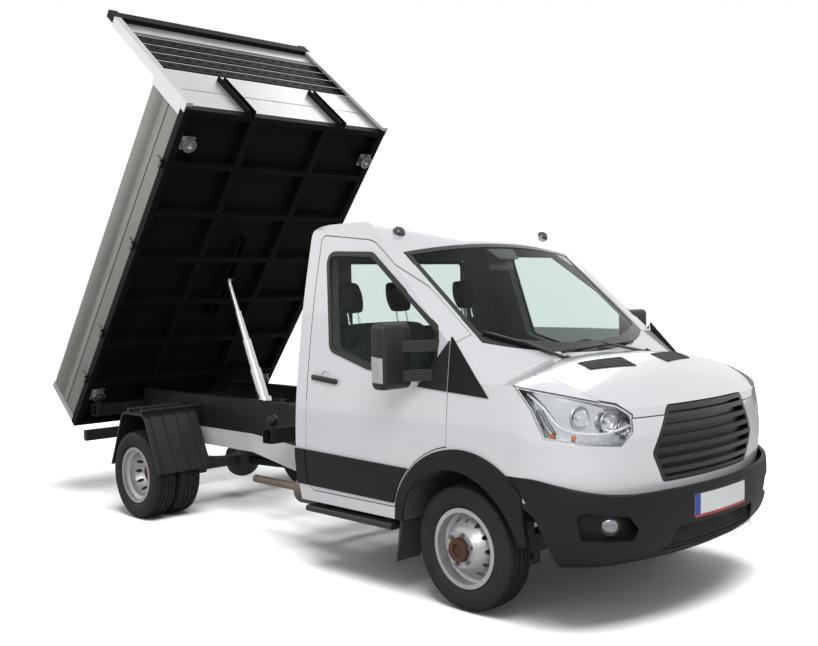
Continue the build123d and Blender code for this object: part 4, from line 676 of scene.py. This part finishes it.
# Door handles: a black plastic pull bar on two round feet, over a shallow round cup pressed in the
# door's skin.
handle_slope = math.radians(5)
crosswise = (math.pi / 2, 0, 0)
handle_size, handle_lift = (0.240, 0.020, 0.034), 0.017
foot_radius, foot_length, foot_lift, foot_drop_share = 0.011, 0.020, 0.004, 0.087
cup_radius, cup_bar, cup_sink = 0.052, 0.0035, 0.0015
for (side, word), door in zip(sides, (left_door, right_door)):
    body = f"{word}_door"
    spot, _ = on_skin(door, (-1.085 + front_axle, side * beside, 1.221), (0, -side, 0))
    block(handle_size, spot + Vector((0, side * handle_lift, 0)), (0, handle_slope, 0))
    eased(0.009)
    settled(f"door_handle_{word}", body, lattice_black)
    for end, end_word in ((-0.098, "rear"), (0.098, "front")):
        foot = spot + Vector((end, side * foot_lift, -end * foot_drop_share))
        rod(foot_radius, foot_length, foot, crosswise, edges=20)
        eased(0.002, steps=2)
        settled(f"handle_foot_{word}_{end_word}", body, lattice_black)
    ring(cup_radius, cup_bar, spot - Vector((0, side * cup_sink, 0)), crosswise)
    settled(f"handle_cup_{word}", body, cab_paint)

# Grille and headlamps: a black plastic grille of curved bars let into the nose, and at each side of it
# a bright moulded lamp cup under a clear plastic lens.
grille_black = coated("grille_black", (0.016, 0.017, 0.019), 0.3, bump=0.0, shade=0.1)
smoothed("grille", "chassis", grille_black)
lens_clear = clear("lens_clear", (0.96, 0.97, 0.97), 1.12)
smoothed("headlamp_lenses", "chassis", lens_clear)
lamp_bright = coated("lamp_bright", (0.62, 0.63, 0.65), 0.15, metal=0.9, bump=0.0)
lamp_cups = smoothed("headlamp_cups", "chassis", lamp_bright)

# Inside each headlamp: three bright bowls with their bulbs, a curved bright bar under them, two short
# dark ones at the outer end and the small amber indicator bulbs near its foot.
bulb_white = coated("bulb_white", (0.85, 0.85, 0.86), 0.1, bump=0.0, shade=0.02, coat=1.0)
bulb_amber = coated("bulb_amber", (0.80, 0.16, 0.03), 0.15, bump=0.0, shade=0.05)
lamp_shade = coated("lamp_shade", (0.16, 0.165, 0.175), 0.25, metal=0.5, bump=0.0, shade=0.1)
lamp_bowls = (
    # place across the lamp, height, radius
    (-0.105, 1.100, 0.058),
    (0.045, 1.072, 0.052),
    (0.128, 1.035, 0.036),
)
bowl_cut_share, bowl_seat_share, bowl_depth = 0.15, 0.62, (1, 1, 0.75)
bulb_share, bulb_seat_share, bulb_stretch = 0.22, 0.32, (1, 1, 1.5)
rim_bar, rim_seat_share = 0.0035, 0.54
lamp_signals = ((-0.225, 1.012), (-0.120, 1.002))
signal_radius, signal_lift, bar_lift = 0.013, 0.02, 0.028
lamp_bars = (
    # points as place across the lamp and height, radius, paint
    (
        (
            (-0.335, 1.215), (-0.275, 1.165), (-0.215, 1.080), (-0.165, 1.035),
            (-0.060, 1.020), (0.060, 1.012), (0.170, 1.045),
        ),
        0.0065, bulb_white,
    ),
    (((-0.315, 1.135), (-0.285, 1.060), (-0.255, 1.010)), 0.004, lamp_shade),
    (((-0.285, 1.140), (-0.250, 1.070), (-0.215, 1.015)), 0.004, lamp_shade),
)
for side, word in sides:
    inward = Vector((-corner_out.x, side * corner_out.y, 0))
    facing = (-inward * 0.4 + Vector((1, 0, 0))).normalized()
    turn = along(facing)
    for count, (across, height, size) in enumerate(lamp_bowls):
        spot, _ = on_skin(lamp_cups, from_corner(across, height, side), inward)
        deselect()
        bpy.ops.mesh.primitive_uv_sphere_add(segments=36, ring_count=18, radius=size)
        bowl = bpy.context.object
        edit_all()
        bpy.ops.mesh.bisect(plane_co=(0, 0, -size * bowl_cut_share), plane_no=(0, 0, 1), clear_outer=True)
        bpy.ops.object.mode_set(mode="OBJECT")
        worked(bowl, "SOLIDIFY", thickness=0.002)
        bowl.scale = bowl_depth
        bowl.rotation_euler = turn
        bowl.location = spot + facing * size * bowl_seat_share
        settled(f"lamp_bowl_{word}_{count}", "chassis", lamp_bright)
        deselect()
        bulb_place = spot + facing * size * bulb_seat_share
        bpy.ops.mesh.primitive_uv_sphere_add(
            segments=20, ring_count=12, radius=size * bulb_share, location=bulb_place
        )
        bpy.context.object.scale = bulb_stretch
        bpy.context.object.rotation_euler = turn
        settled(f"lamp_bulb_{word}_{count}", "chassis", bulb_white)
        ring(size, rim_bar, spot + facing * size * rim_seat_share, turn, segments=40)
        settled(f"lamp_rim_{word}_{count}", "chassis", lamp_bright)
    for count, (across, height) in enumerate(lamp_signals):
        spot, _ = on_skin(lamp_cups, from_corner(across, height, side), inward)
        deselect()
        bpy.ops.mesh.primitive_uv_sphere_add(
            segments=20, ring_count=12, radius=signal_radius, location=spot - inward * signal_lift
        )
        bpy.context.object.scale = (1, 1, 0.8)
        settled(f"lamp_signal_{word}_{count}", "chassis", bulb_amber)
    for count, (line, radius, paint) in enumerate(lamp_bars):
        spots = [on_skin(lamp_cups, from_corner(*point, side), inward)[0] for point in line]
        path = bpy.data.curves.new(f"lamp_bar_{word}_{count}", "CURVE")
        path.dimensions = "3D"
        path.bevel_depth = radius
        path.bevel_resolution = 3
        run = path.splines.new("NURBS")
        run.points.add(len(spots) - 1)
        for knot, spot in zip(run.points, spots):
            knot.co = (*(spot - inward * bar_lift), 1)
        run.order_u = 3
        run.use_endpoint_u = True
        deselect()
        bar = bpy.data.objects.new(path.name, path)
        bpy.context.collection.objects.link(bar)
        bar.select_set(True)
        bpy.context.view_layer.objects.active = bar
        bpy.ops.object.convert(target="MESH")
        settled(f"lamp_bar_{word}_{count}", "chassis", paint)

# Seats: foam cushions and backrests in dark cloth on grey bases, one for the driver and a double one
# beside it, sewn in channels, each place with a headrest on two steel posts.
seat_cloth = coated("seat_cloth", (0.02, 0.021, 0.024), 0.85, grain=700, bump=0.4, shade=0.2)
seat_line = coated("seat_line", (0.045, 0.046, 0.050), 0.8, grain=500, bump=0.2, shade=0.1)
seat_lean = math.radians(14)
seat_middle = -0.773 + front_axle
back_foot = Vector((-1.033 + front_axle, 0, 0.980))
back_turn = Matrix.Rotation(-seat_lean, 3, "Y")
corner_ease, edge_fall = 0.10, 0.22
seam_depth, seam_width = 0.06, 0.035


def pad(name, size, place, lean, crown, pull, channels=()):
    """Crowned cushion: a block pulled in along its sides, swollen on both faces and sewn across."""
    deselect()
    bpy.ops.mesh.primitive_cube_add(size=2)
    cushion = bpy.context.object
    edit_all()
    bpy.ops.mesh.subdivide(number_cuts=11)
    bpy.ops.object.mode_set(mode="OBJECT")
    for vert in cushion.data.vertices:
        a, b, c = vert.co
        ease = 1 - corner_ease * (a * a * b * b + b * b * c * c + a * a * c * c) ** 2
        x = a * (1 - pull * (1 - b * b) * 0.5) * ease
        y = b * (1 - pull * (1 - a * a) * 0.5) * ease
        z = c * (1 - edge_fall * max(a * a, b * b) ** 4 + crown * (1 - a * a) * (1 - b * b)) * ease
        for line in channels:
            z *= 1 - seam_depth * math.exp(-((b - line) / seam_width) ** 2)
        vert.co = (x * size[0] / 2, y * size[1] / 2, z * size[2] / 2)
    worked(cushion, "SUBSURF", levels=1, render_levels=1)
    cushion.rotation_euler = (0, lean, 0)
    cushion.location = place
    piece = settled(name, "chassis", seat_cloth, 60)
    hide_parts("seats")


def up_the_back(across, height):
    """Point in the middle of a backrest's thickness, from the foot of the backrest up its lean."""
    return back_foot + back_turn @ Vector((-0.030, 0, height)) + Vector((0, across, 0))


for word, middle, width, channels in (
    ("driver", 0.430, 0.500, (-0.55, 0.55)),
    ("bench", -0.435, 0.880, (-0.7, -0.3, 0.3, 0.7)),
):
    cushion_size, back_size = (0.520, width, 0.125), (0.640, width, 0.118)
    cushion_place, back_lean = (seat_middle, middle, 0.915), -seat_lean - math.pi / 2
    back_place = up_the_back(middle, 0.280)
    pad(f"seat_cushion_{word}", cushion_size, cushion_place, 0, crown=0.16, pull=0.05, channels=channels)
    pad(f"seat_back_{word}", back_size, back_place, back_lean, crown=0.14, pull=0.05, channels=channels)
    block((0.340, width * 0.66, 0.205), (seat_middle, middle, 0.745))
    eased(0.02)
    base = settled(f"seat_base_{word}", "chassis", seat_line)
    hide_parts("seats")
rest_size = (0.205, 0.190, 0.080)
post_radius, post_length = 0.006, 0.11
for count, middle in enumerate((0.430, -0.220, -0.650)):
    rest_place, rest_lean = up_the_back(middle, 0.7645), -seat_lean - math.pi / 2
    pad(f"headrest_{count}", rest_size, rest_place, rest_lean, crown=0.2, pull=0.04)
    for across, word in ((-0.045, "right"), (0.045, "left")):
        rod(post_radius, post_length, up_the_back(middle + across, 0.63), (0, -seat_lean, 0))
        post = settled(f"headrest_post_{count}_{word}", "chassis", lamp_bright)
        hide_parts("seats")

# Dashboard and steering wheel: dark grained plastic, the dashboard one wide moulding under the
# windscreen, with the steering column's cover.
dash_plastic = coated("dash_plastic", (0.03, 0.032, 0.035), 0.6, grain=900, bump=0.2)
smoothed("dashboard", "chassis", dash_plastic)
smoothed("steering_wheel", "steering", dash_plastic)

# Running gear under the floor: dark cast and forged parts with road dirt, a black painted propeller
# shaft, a rusty silencer, and the moulded black plastic of the tank, mudguards and side steps.
cast_dark = coated("cast_dark", (0.040, 0.036, 0.034), 0.65, grain=150, bump=0.4, shade=0.35, dust=0.2)
for node, body in (
    ("front_suspension", "chassis"),
    ("rear_axle", "chassis"),
    ("engine", "chassis"),
    ("knuckle_left", "left_knuckle"),
    ("knuckle_right", "right_knuckle"),
):
    smoothed(node, body, cast_dark)
smoothed("propshaft", "chassis", frame_black)
silencer_skin = coated("silencer_skin", (0.20, 0.16, 0.13), 0.55, metal=0.6, grain=80, bump=0.3, shade=0.4)
smoothed("exhaust", "chassis", silencer_skin)
moulded_black = coated(
    "moulded_black", (0.014, 0.014, 0.015), 0.42, grain=500, bump=0.15, shade=0.15, dust=0.05
)
for node in ("fuel_tank", "rear_mudguards", "side_steps"):
    smoothed(node, "chassis", moulded_black)

# Rear lamp bar: black steel with a lamp cluster at each end, red at the outer half, amber and clear
# towards the middle.
tail_bar = smoothed("tail_bar", "chassis", moulded_black)
lamp_red = coated("lamp_red", (0.36, 0.012, 0.010), 0.12, bump=0.0, shade=0.05, coat=1.0)
for tint in (lamp_red, bulb_amber, bulb_white):
    tail_bar.data.materials.append(tint)
tail_end = min(vert.co.x for vert in tail_bar.data.vertices)
lamp_depth, lamp_inner, lamp_outer = 0.030, 0.575, 0.895
for face in tail_bar.data.polygons:
    if face.center.x < tail_end + lamp_depth and lamp_inner < abs(face.center.y) < lamp_outer:
        face.material_index = 1
window_foot, window_head = 0.530, 0.576
behind_truck = -4
for side, word in sides:
    for count, (inner, outer, tint, slot) in enumerate((
        (0.705, 0.775, bulb_amber, "amber"),
        (0.590, 0.690, bulb_white, "lens"),
    )):
        outline = ((inner, window_foot), (outer, window_foot), (outer, window_head), (inner, window_head))
        corners = [Vector((behind_truck, side * y, z)) for y, z in outline]
        name = f"tail_window_{word}_{count}"
        window = patch(name, tail_bar, corners, (8, 4), (1, 0, 0), lift=0.002, wall=0.003, paint=tint)
        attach(window, "chassis")

# Wipers: two black blades lying on the lower edge of the windscreen, each on a tapered arm from its
# pivot at the foot.
wiper_black = coated("wiper_black", (0.008, 0.008, 0.009), 0.4, grain=400, bump=0.1)
glass_bow = 4.0
pivot_radius, pivot_height = 0.021, 0.030
wiper_sets = (
    # share down the glass and place across: pivot, the blade's two ends
    ((1.030, -0.345), (0.725, -0.735), (0.965, -0.385)),
    ((1.030, 0.470), (0.968, -0.325), (0.930, 0.440)),
)


def over_glass(share, across, lift):
    """Point over the windscreen, from its share down the glass and its place across."""
    bow = glass_bow - math.sqrt(glass_bow**2 - across * across)
    on_plane = screen_head + screen_run * (share * screen_reach) + Vector((0, across, 0))
    return on_plane + screen_out * (lift - bow)


def strip(name, start, end, width, height, taper=1.0):
    """Flat black bar from one point to another, standing off the glass, narrower at its far end."""
    deselect()
    bpy.ops.mesh.primitive_cube_add(size=1)
    bar = bpy.context.object
    for vert in bar.data.vertices:
        if vert.co.x > 0:
            vert.co.y *= taper
            vert.co.z *= taper
    run = end - start
    bar.scale = (run.length, width, height)
    eased(0.003, steps=2)
    run.normalize()
    flat = (screen_out - run * screen_out.dot(run)).normalized()
    turn = Matrix((run, flat.cross(run), flat)).transposed()
    bar.matrix_world = Matrix.Translation((start + end) / 2) @ turn.to_4x4()
    return settled(name, "chassis", wiper_black)


for count, (pivot, low, high) in enumerate(wiper_sets):
    hub = over_glass(*pivot, 0.020)
    ends = [over_glass(*place, 0.012) for place in (low, high)]
    middle = over_glass((low[0] + high[0]) / 2, (low[1] + high[1]) / 2, 0.026)
    spine = [ends[0].lerp(ends[1], share) + screen_out * 0.010 for share in (0.08, 0.92)]
    parts = [
        strip(f"wiper_blade_{count}", *ends, width=0.010, height=0.020),
        strip(f"wiper_spine_{count}", *spine, width=0.018, height=0.007),
        strip(f"wiper_arm_{count}", hub, middle, width=0.026, height=0.012, taper=0.6),
    ]
    rod(pivot_radius, pivot_height, hub, along(screen_out), edges=28)
    eased(0.005)
    parts.append(settled(f"wiper_pivot_{count}", "chassis", wiper_black))
    for piece in parts:
        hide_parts("wipers")

# Mudflaps of plain black rubber behind the wheels, and the small dark marker lamps that are screwed
# to the roof.
flap_rubber = coated("flap_rubber", (0.02, 0.02, 0.02), 0.7, grain=200, bump=0.3, dust=0.15)
smoothed("mudflaps", "chassis", flap_rubber)
marker_grey = coated("marker_grey", (0.05, 0.05, 0.055), 0.12, bump=0.0, shade=0.1, coat=0.6)
smoothed("roof_lamps", "chassis", marker_grey)

# Steel wheels: pressed and welded rims under silver paint, with round holes, a rusty hub that shows
# in the middle, and six hexagon nuts round it.
rim_silver = coated("rim_silver", (0.50, 0.51, 0.52), 0.34, metal=0.5, grain=300, bump=0.05, dust=0.10)
wheel_sets = (
    # rim, tyre, body, places of the tyres' middles across the truck
    ("front_rim_left", "front_tyre_left", "front_wheel_left", (0.866,)),
    ("front_rim_right", "front_tyre_right", "front_wheel_right", (-0.866,)),
    ("rear_rims_left", "rear_tyres_left", "rear_wheels_left", (0.715, 0.930)),
    ("rear_rims_right", "rear_tyres_right", "rear_wheels_right", (-0.715, -0.930)),
)
hub_rust = coated("hub_rust", (0.085, 0.034, 0.018), 0.75, grain=220, bump=0.6, shade=0.5)
nut_steel = coated("nut_steel", (0.20, 0.17, 0.15), 0.5, metal=0.7, grain=300, bump=0.3, shade=0.4)
hub_radius = 0.0665
nut_count, nut_circle, nut_start_share = 6, 0.084, 0.25
nut_radius, nut_height, nut_lift = 0.0125, 0.020, 0.008
for rim_node, _, body, middles in wheel_sets:
    rim = smoothed(rim_node, body, rim_silver)
    rim.data.materials.append(hub_rust)
    low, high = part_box(rim_node)
    centre = Vector(((low.x + high.x) / 2, 0, wheel_height))
    side = 1 if middles[0] > 0 else -1
    for face in rim.data.polygons:
        if math.hypot(face.center.x - centre.x, face.center.z - centre.z) < hub_radius:
            face.material_index = 1
    for count in range(nut_count):
        turn = 2 * math.pi * (count + nut_start_share) / nut_count
        start = centre + Vector((nut_circle * math.cos(turn), side * beside, nut_circle * math.sin(turn)))
        spot, _ = on_skin(rim, start, (0, -side, 0))
        rod(nut_radius, nut_height, spot + Vector((0, side * nut_lift, 0)), crosswise, edges=6)
        eased(0.002, steps=2)
        settled(f"{rim_node}_nut_{count}", body, nut_steel)

# Tyres: black rubber with bead ribs on the walls, four grooves round the tread and a notched
# shoulder. One is turned from its section and the others are copies of it.
tyre_rubber = coated(
    "tyre_rubber", (0.008, 0.008, 0.008), 0.7, grain=250, bump=0.2, shade=0.2, dust=0.04, shine=0.4
)
tyre_section = (
    # place across from the tyre's middle and radius, from the bead out to the tread's middle
    (0.0715, 0.2036), (0.0715, 0.2210), (0.0790, 0.2285), (0.0905, 0.2420), (0.0940, 0.2520),
    (0.0958, 0.2545), (0.0958, 0.2580), (0.0948, 0.2600), (0.0975, 0.2680), (0.0978, 0.2800),
    (0.0962, 0.2950), (0.0975, 0.2965), (0.0970, 0.3010), (0.0950, 0.3025), (0.0900, 0.3200),
    (0.0850, 0.3310), (0.0780, 0.3385), (0.0700, 0.3410), (0.0520, 0.3428), (0.0505, 0.3350),
    (0.0445, 0.3350), (0.0430, 0.3440), (0.0230, 0.3448), (0.0215, 0.3370), (0.0135, 0.3370),
    (0.0120, 0.3450),
)
tyre_edges = 120
notch_depth = 0.004


def turned(name, rows, edges):
    """Ring round the Y axis, drawn out from one circle row by row and closed at the end."""
    deselect()
    across, radius = rows[0]
    bpy.ops.mesh.primitive_circle_add(
        vertices=edges, radius=radius, location=(0, across, 0), rotation=crosswise
    )
    piece = bpy.context.object
    piece.name = name
    bpy.ops.object.transform_apply(location=True, rotation=True, scale=True)
    edit_all()
    for next_across, next_radius in list(rows[1:]) + [rows[0]]:
        grow = next_radius / radius
        bpy.ops.mesh.extrude_edges_move(TRANSFORM_OT_translate={"value": (0, next_across - across, 0)})
        bpy.ops.transform.resize(value=(grow, 1, grow), center_override=(0, 0, 0))
        across, radius = next_across, next_radius
    bpy.ops.mesh.select_all(action="SELECT")
    bpy.ops.mesh.remove_doubles(threshold=0.00005)
    bpy.ops.mesh.normals_make_consistent(inside=False)
    bpy.ops.object.mode_set(mode="OBJECT")
    return piece


full_section = [(-a, r) for a, r in tyre_section] + [(a, r) for a, r in reversed(tyre_section)]
master_tyre = turned("tyre_master", full_section, tyre_edges)
master_tyre.data.materials.append(tyre_rubber)
for face in master_tyre.data.polygons:
    place = face.center
    step = round(math.atan2(place.z, place.x) / (2 * math.pi / tyre_edges) - 0.5)
    across, radius = abs(place.y), math.hypot(place.x, place.z)
    on_shoulder = 0.071 < across < 0.084 and radius > 0.33 and step % 3 == 0
    on_tread = 0.024 < across < 0.042 and radius > 0.342 and step % 4 == 1
    face.select = on_shoulder or on_tread
for vert in master_tyre.data.vertices:
    vert.select = False
for edge in master_tyre.data.edges:
    edge.select = False
bpy.ops.object.mode_set(mode="EDIT")
bpy.ops.mesh.select_mode(type="FACE")
bpy.ops.mesh.extrude_region_shrink_fatten(TRANSFORM_OT_shrink_fatten={"value": -notch_depth})
bpy.ops.mesh.select_mode(type="VERT")
bpy.ops.object.mode_set(mode="OBJECT")
bpy.ops.object.shade_smooth_by_angle(angle=math.radians(28))
for _, tyre_node, body, middles in wheel_sets:
    low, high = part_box(tyre_node)
    for count, middle in enumerate(middles):
        tyre = bpy.data.objects.new(f"{tyre_node}_{count + 1}", master_tyre.data.copy())
        bpy.context.collection.objects.link(tyre)
        tyre.data.transform(Matrix.Translation(((low.x + high.x) / 2, middle, wheel_height)))
        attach(tyre, body)
        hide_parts(tyre_node)
bpy.data.objects.remove(master_tyre)

# Door mirrors: black housings on two flat arms, with a large glass over a small wide-angle one and a
# clear signal lamp on the outer edge.
mirror_glass = coated("mirror_glass", (0.62, 0.65, 0.68), 0.03, metal=1.0, bump=0.0, shade=0.01)
signal_clear = coated(
    "signal_clear", (0.62, 0.62, 0.60), 0.12, metal=0.3, grain=260, bump=0.3, shade=0.2, coat=1.0
)
behind_mirror, beside_mirror = -0.62 + front_axle, 1.5
glass_inner, glass_outer = 1.082, 1.250
signal_corners = ((-0.350, 1.262), (-0.262, 1.256), (-0.262, 1.392), (-0.350, 1.404))
for side, word in sides:
    body = f"{word}_door"
    housing = smoothed(f"mirror_{word}", body, moulded_black)
    for part, z0, z1 in (("main", 1.305, 1.560), ("wide", 1.240, 1.292)):
        outline = ((glass_inner, z0), (glass_outer, z0), (glass_outer, z1), (glass_inner, z1))
        corners = [Vector((behind_mirror, side * y, z)) for y, z in outline]
        name = f"mirror_{part}_{word}"
        glass = patch(name, housing, corners, (6, 6), (1, 0, 0), lift=0.001, wall=0.002, paint=mirror_glass)
        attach(glass, body)
    corners = [Vector((x + front_axle, side * beside_mirror, z)) for x, z in signal_corners]
    signal = patch(
        f"mirror_signal_{word}", housing, corners, (8, 10), (0, -side, 0),
        lift=-0.001, wall=0.006, paint=signal_clear,
    )
    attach(signal, body)

# Bed: black steel frame with zinc plated sockets at its four corners and a bare steel load floor, and
# a black rack over the headboard whose slats stand between silver posts.
bed_black = coated("bed_black", (0.0045, 0.0045, 0.0042), 0.55, shade=0.3, grain=200, bump=0.2, shine=0.1)
bed_skin = smoothed("bed_frame", "bed", bed_black)
zinc = coated("zinc_plate", (0.34, 0.35, 0.36), 0.35, metal=0.8, grain=200, bump=0.1, shade=0.15)
bed_skin.data.materials.append(zinc)
load_steel = coated("load_steel", (0.085, 0.084, 0.080), 0.48, metal=0.5, grain=90, bump=0.15, shade=0.35)
bed_skin.data.materials.append(load_steel)
# The bed's own directions as it stands, raised by 51 degrees: its rear edge, along it and out of it.
bed_start = Vector((-2.680464, 0, 0.679868))
bed_along = Vector((0.62932, 0, 0.777146))
bed_above = Vector((-0.777146, 0, 0.62932))
load_height = 0.0005
socket_places, socket_across, socket_half, socket_top = (0.374, 2.905), 0.870, 0.058, -0.064
for face in bed_skin.data.polygons:
    place = face.center - bed_start
    along_bed, height = place.dot(bed_along), place.dot(bed_above)
    if height > load_height:
        face.material_index = 2
    off_across = abs(abs(place.y) - socket_across)
    for middle in socket_places:
        if abs(along_bed - middle) < socket_half and off_across < socket_half and height < socket_top:
            face.material_index = 1
smoothed("headboard_rack", "bed", bed_black)

# Aluminium boards: extruded and slotted together, the dropsides and tailgate dull, the headboard and
# its posts in a lighter silver that is partly a painted reflection of the bright sky above them.
board_alloy = coated("board_alloy", (0.26, 0.25, 0.23), 0.42, metal=0.55, grain=120, bump=0.05, shade=0.10)
# Painted reflection: the lighter silver of the headboard and posts stands in for the bright sky they
# reflect, over their own bare aluminium.
alloy_painted_sky = coated("alloy_painted_sky", (0.62, 0.63, 0.64), 0.30, metal=0.55, grain=160, bump=0.03, shade=0.05)
for node, body, paint in (
    ("dropside_left", "left_dropside", board_alloy),
    ("dropside_right", "right_dropside", board_alloy),
    ("tailgate", "bed", board_alloy),
    ("bed_posts", "bed", alloy_painted_sky),
    ("headboard", "bed", alloy_painted_sky),
):
    smoothed(node, body, paint)

# Lift cylinder: a barrel and four stages of polished, chromed steel tube, each of which slides out of
# the one before it.
rod_bright = coated("rod_bright", (0.60, 0.61, 0.62), 0.2, metal=0.95, grain=400, bump=0.02, shade=0.05)
smoothed("cylinder_barrel", "lift_barrel", rod_bright)
for k in (1, 2, 3, 4):
    smoothed(f"cylinder_stage_{k}", f"lift_stage_{k}", rod_bright)
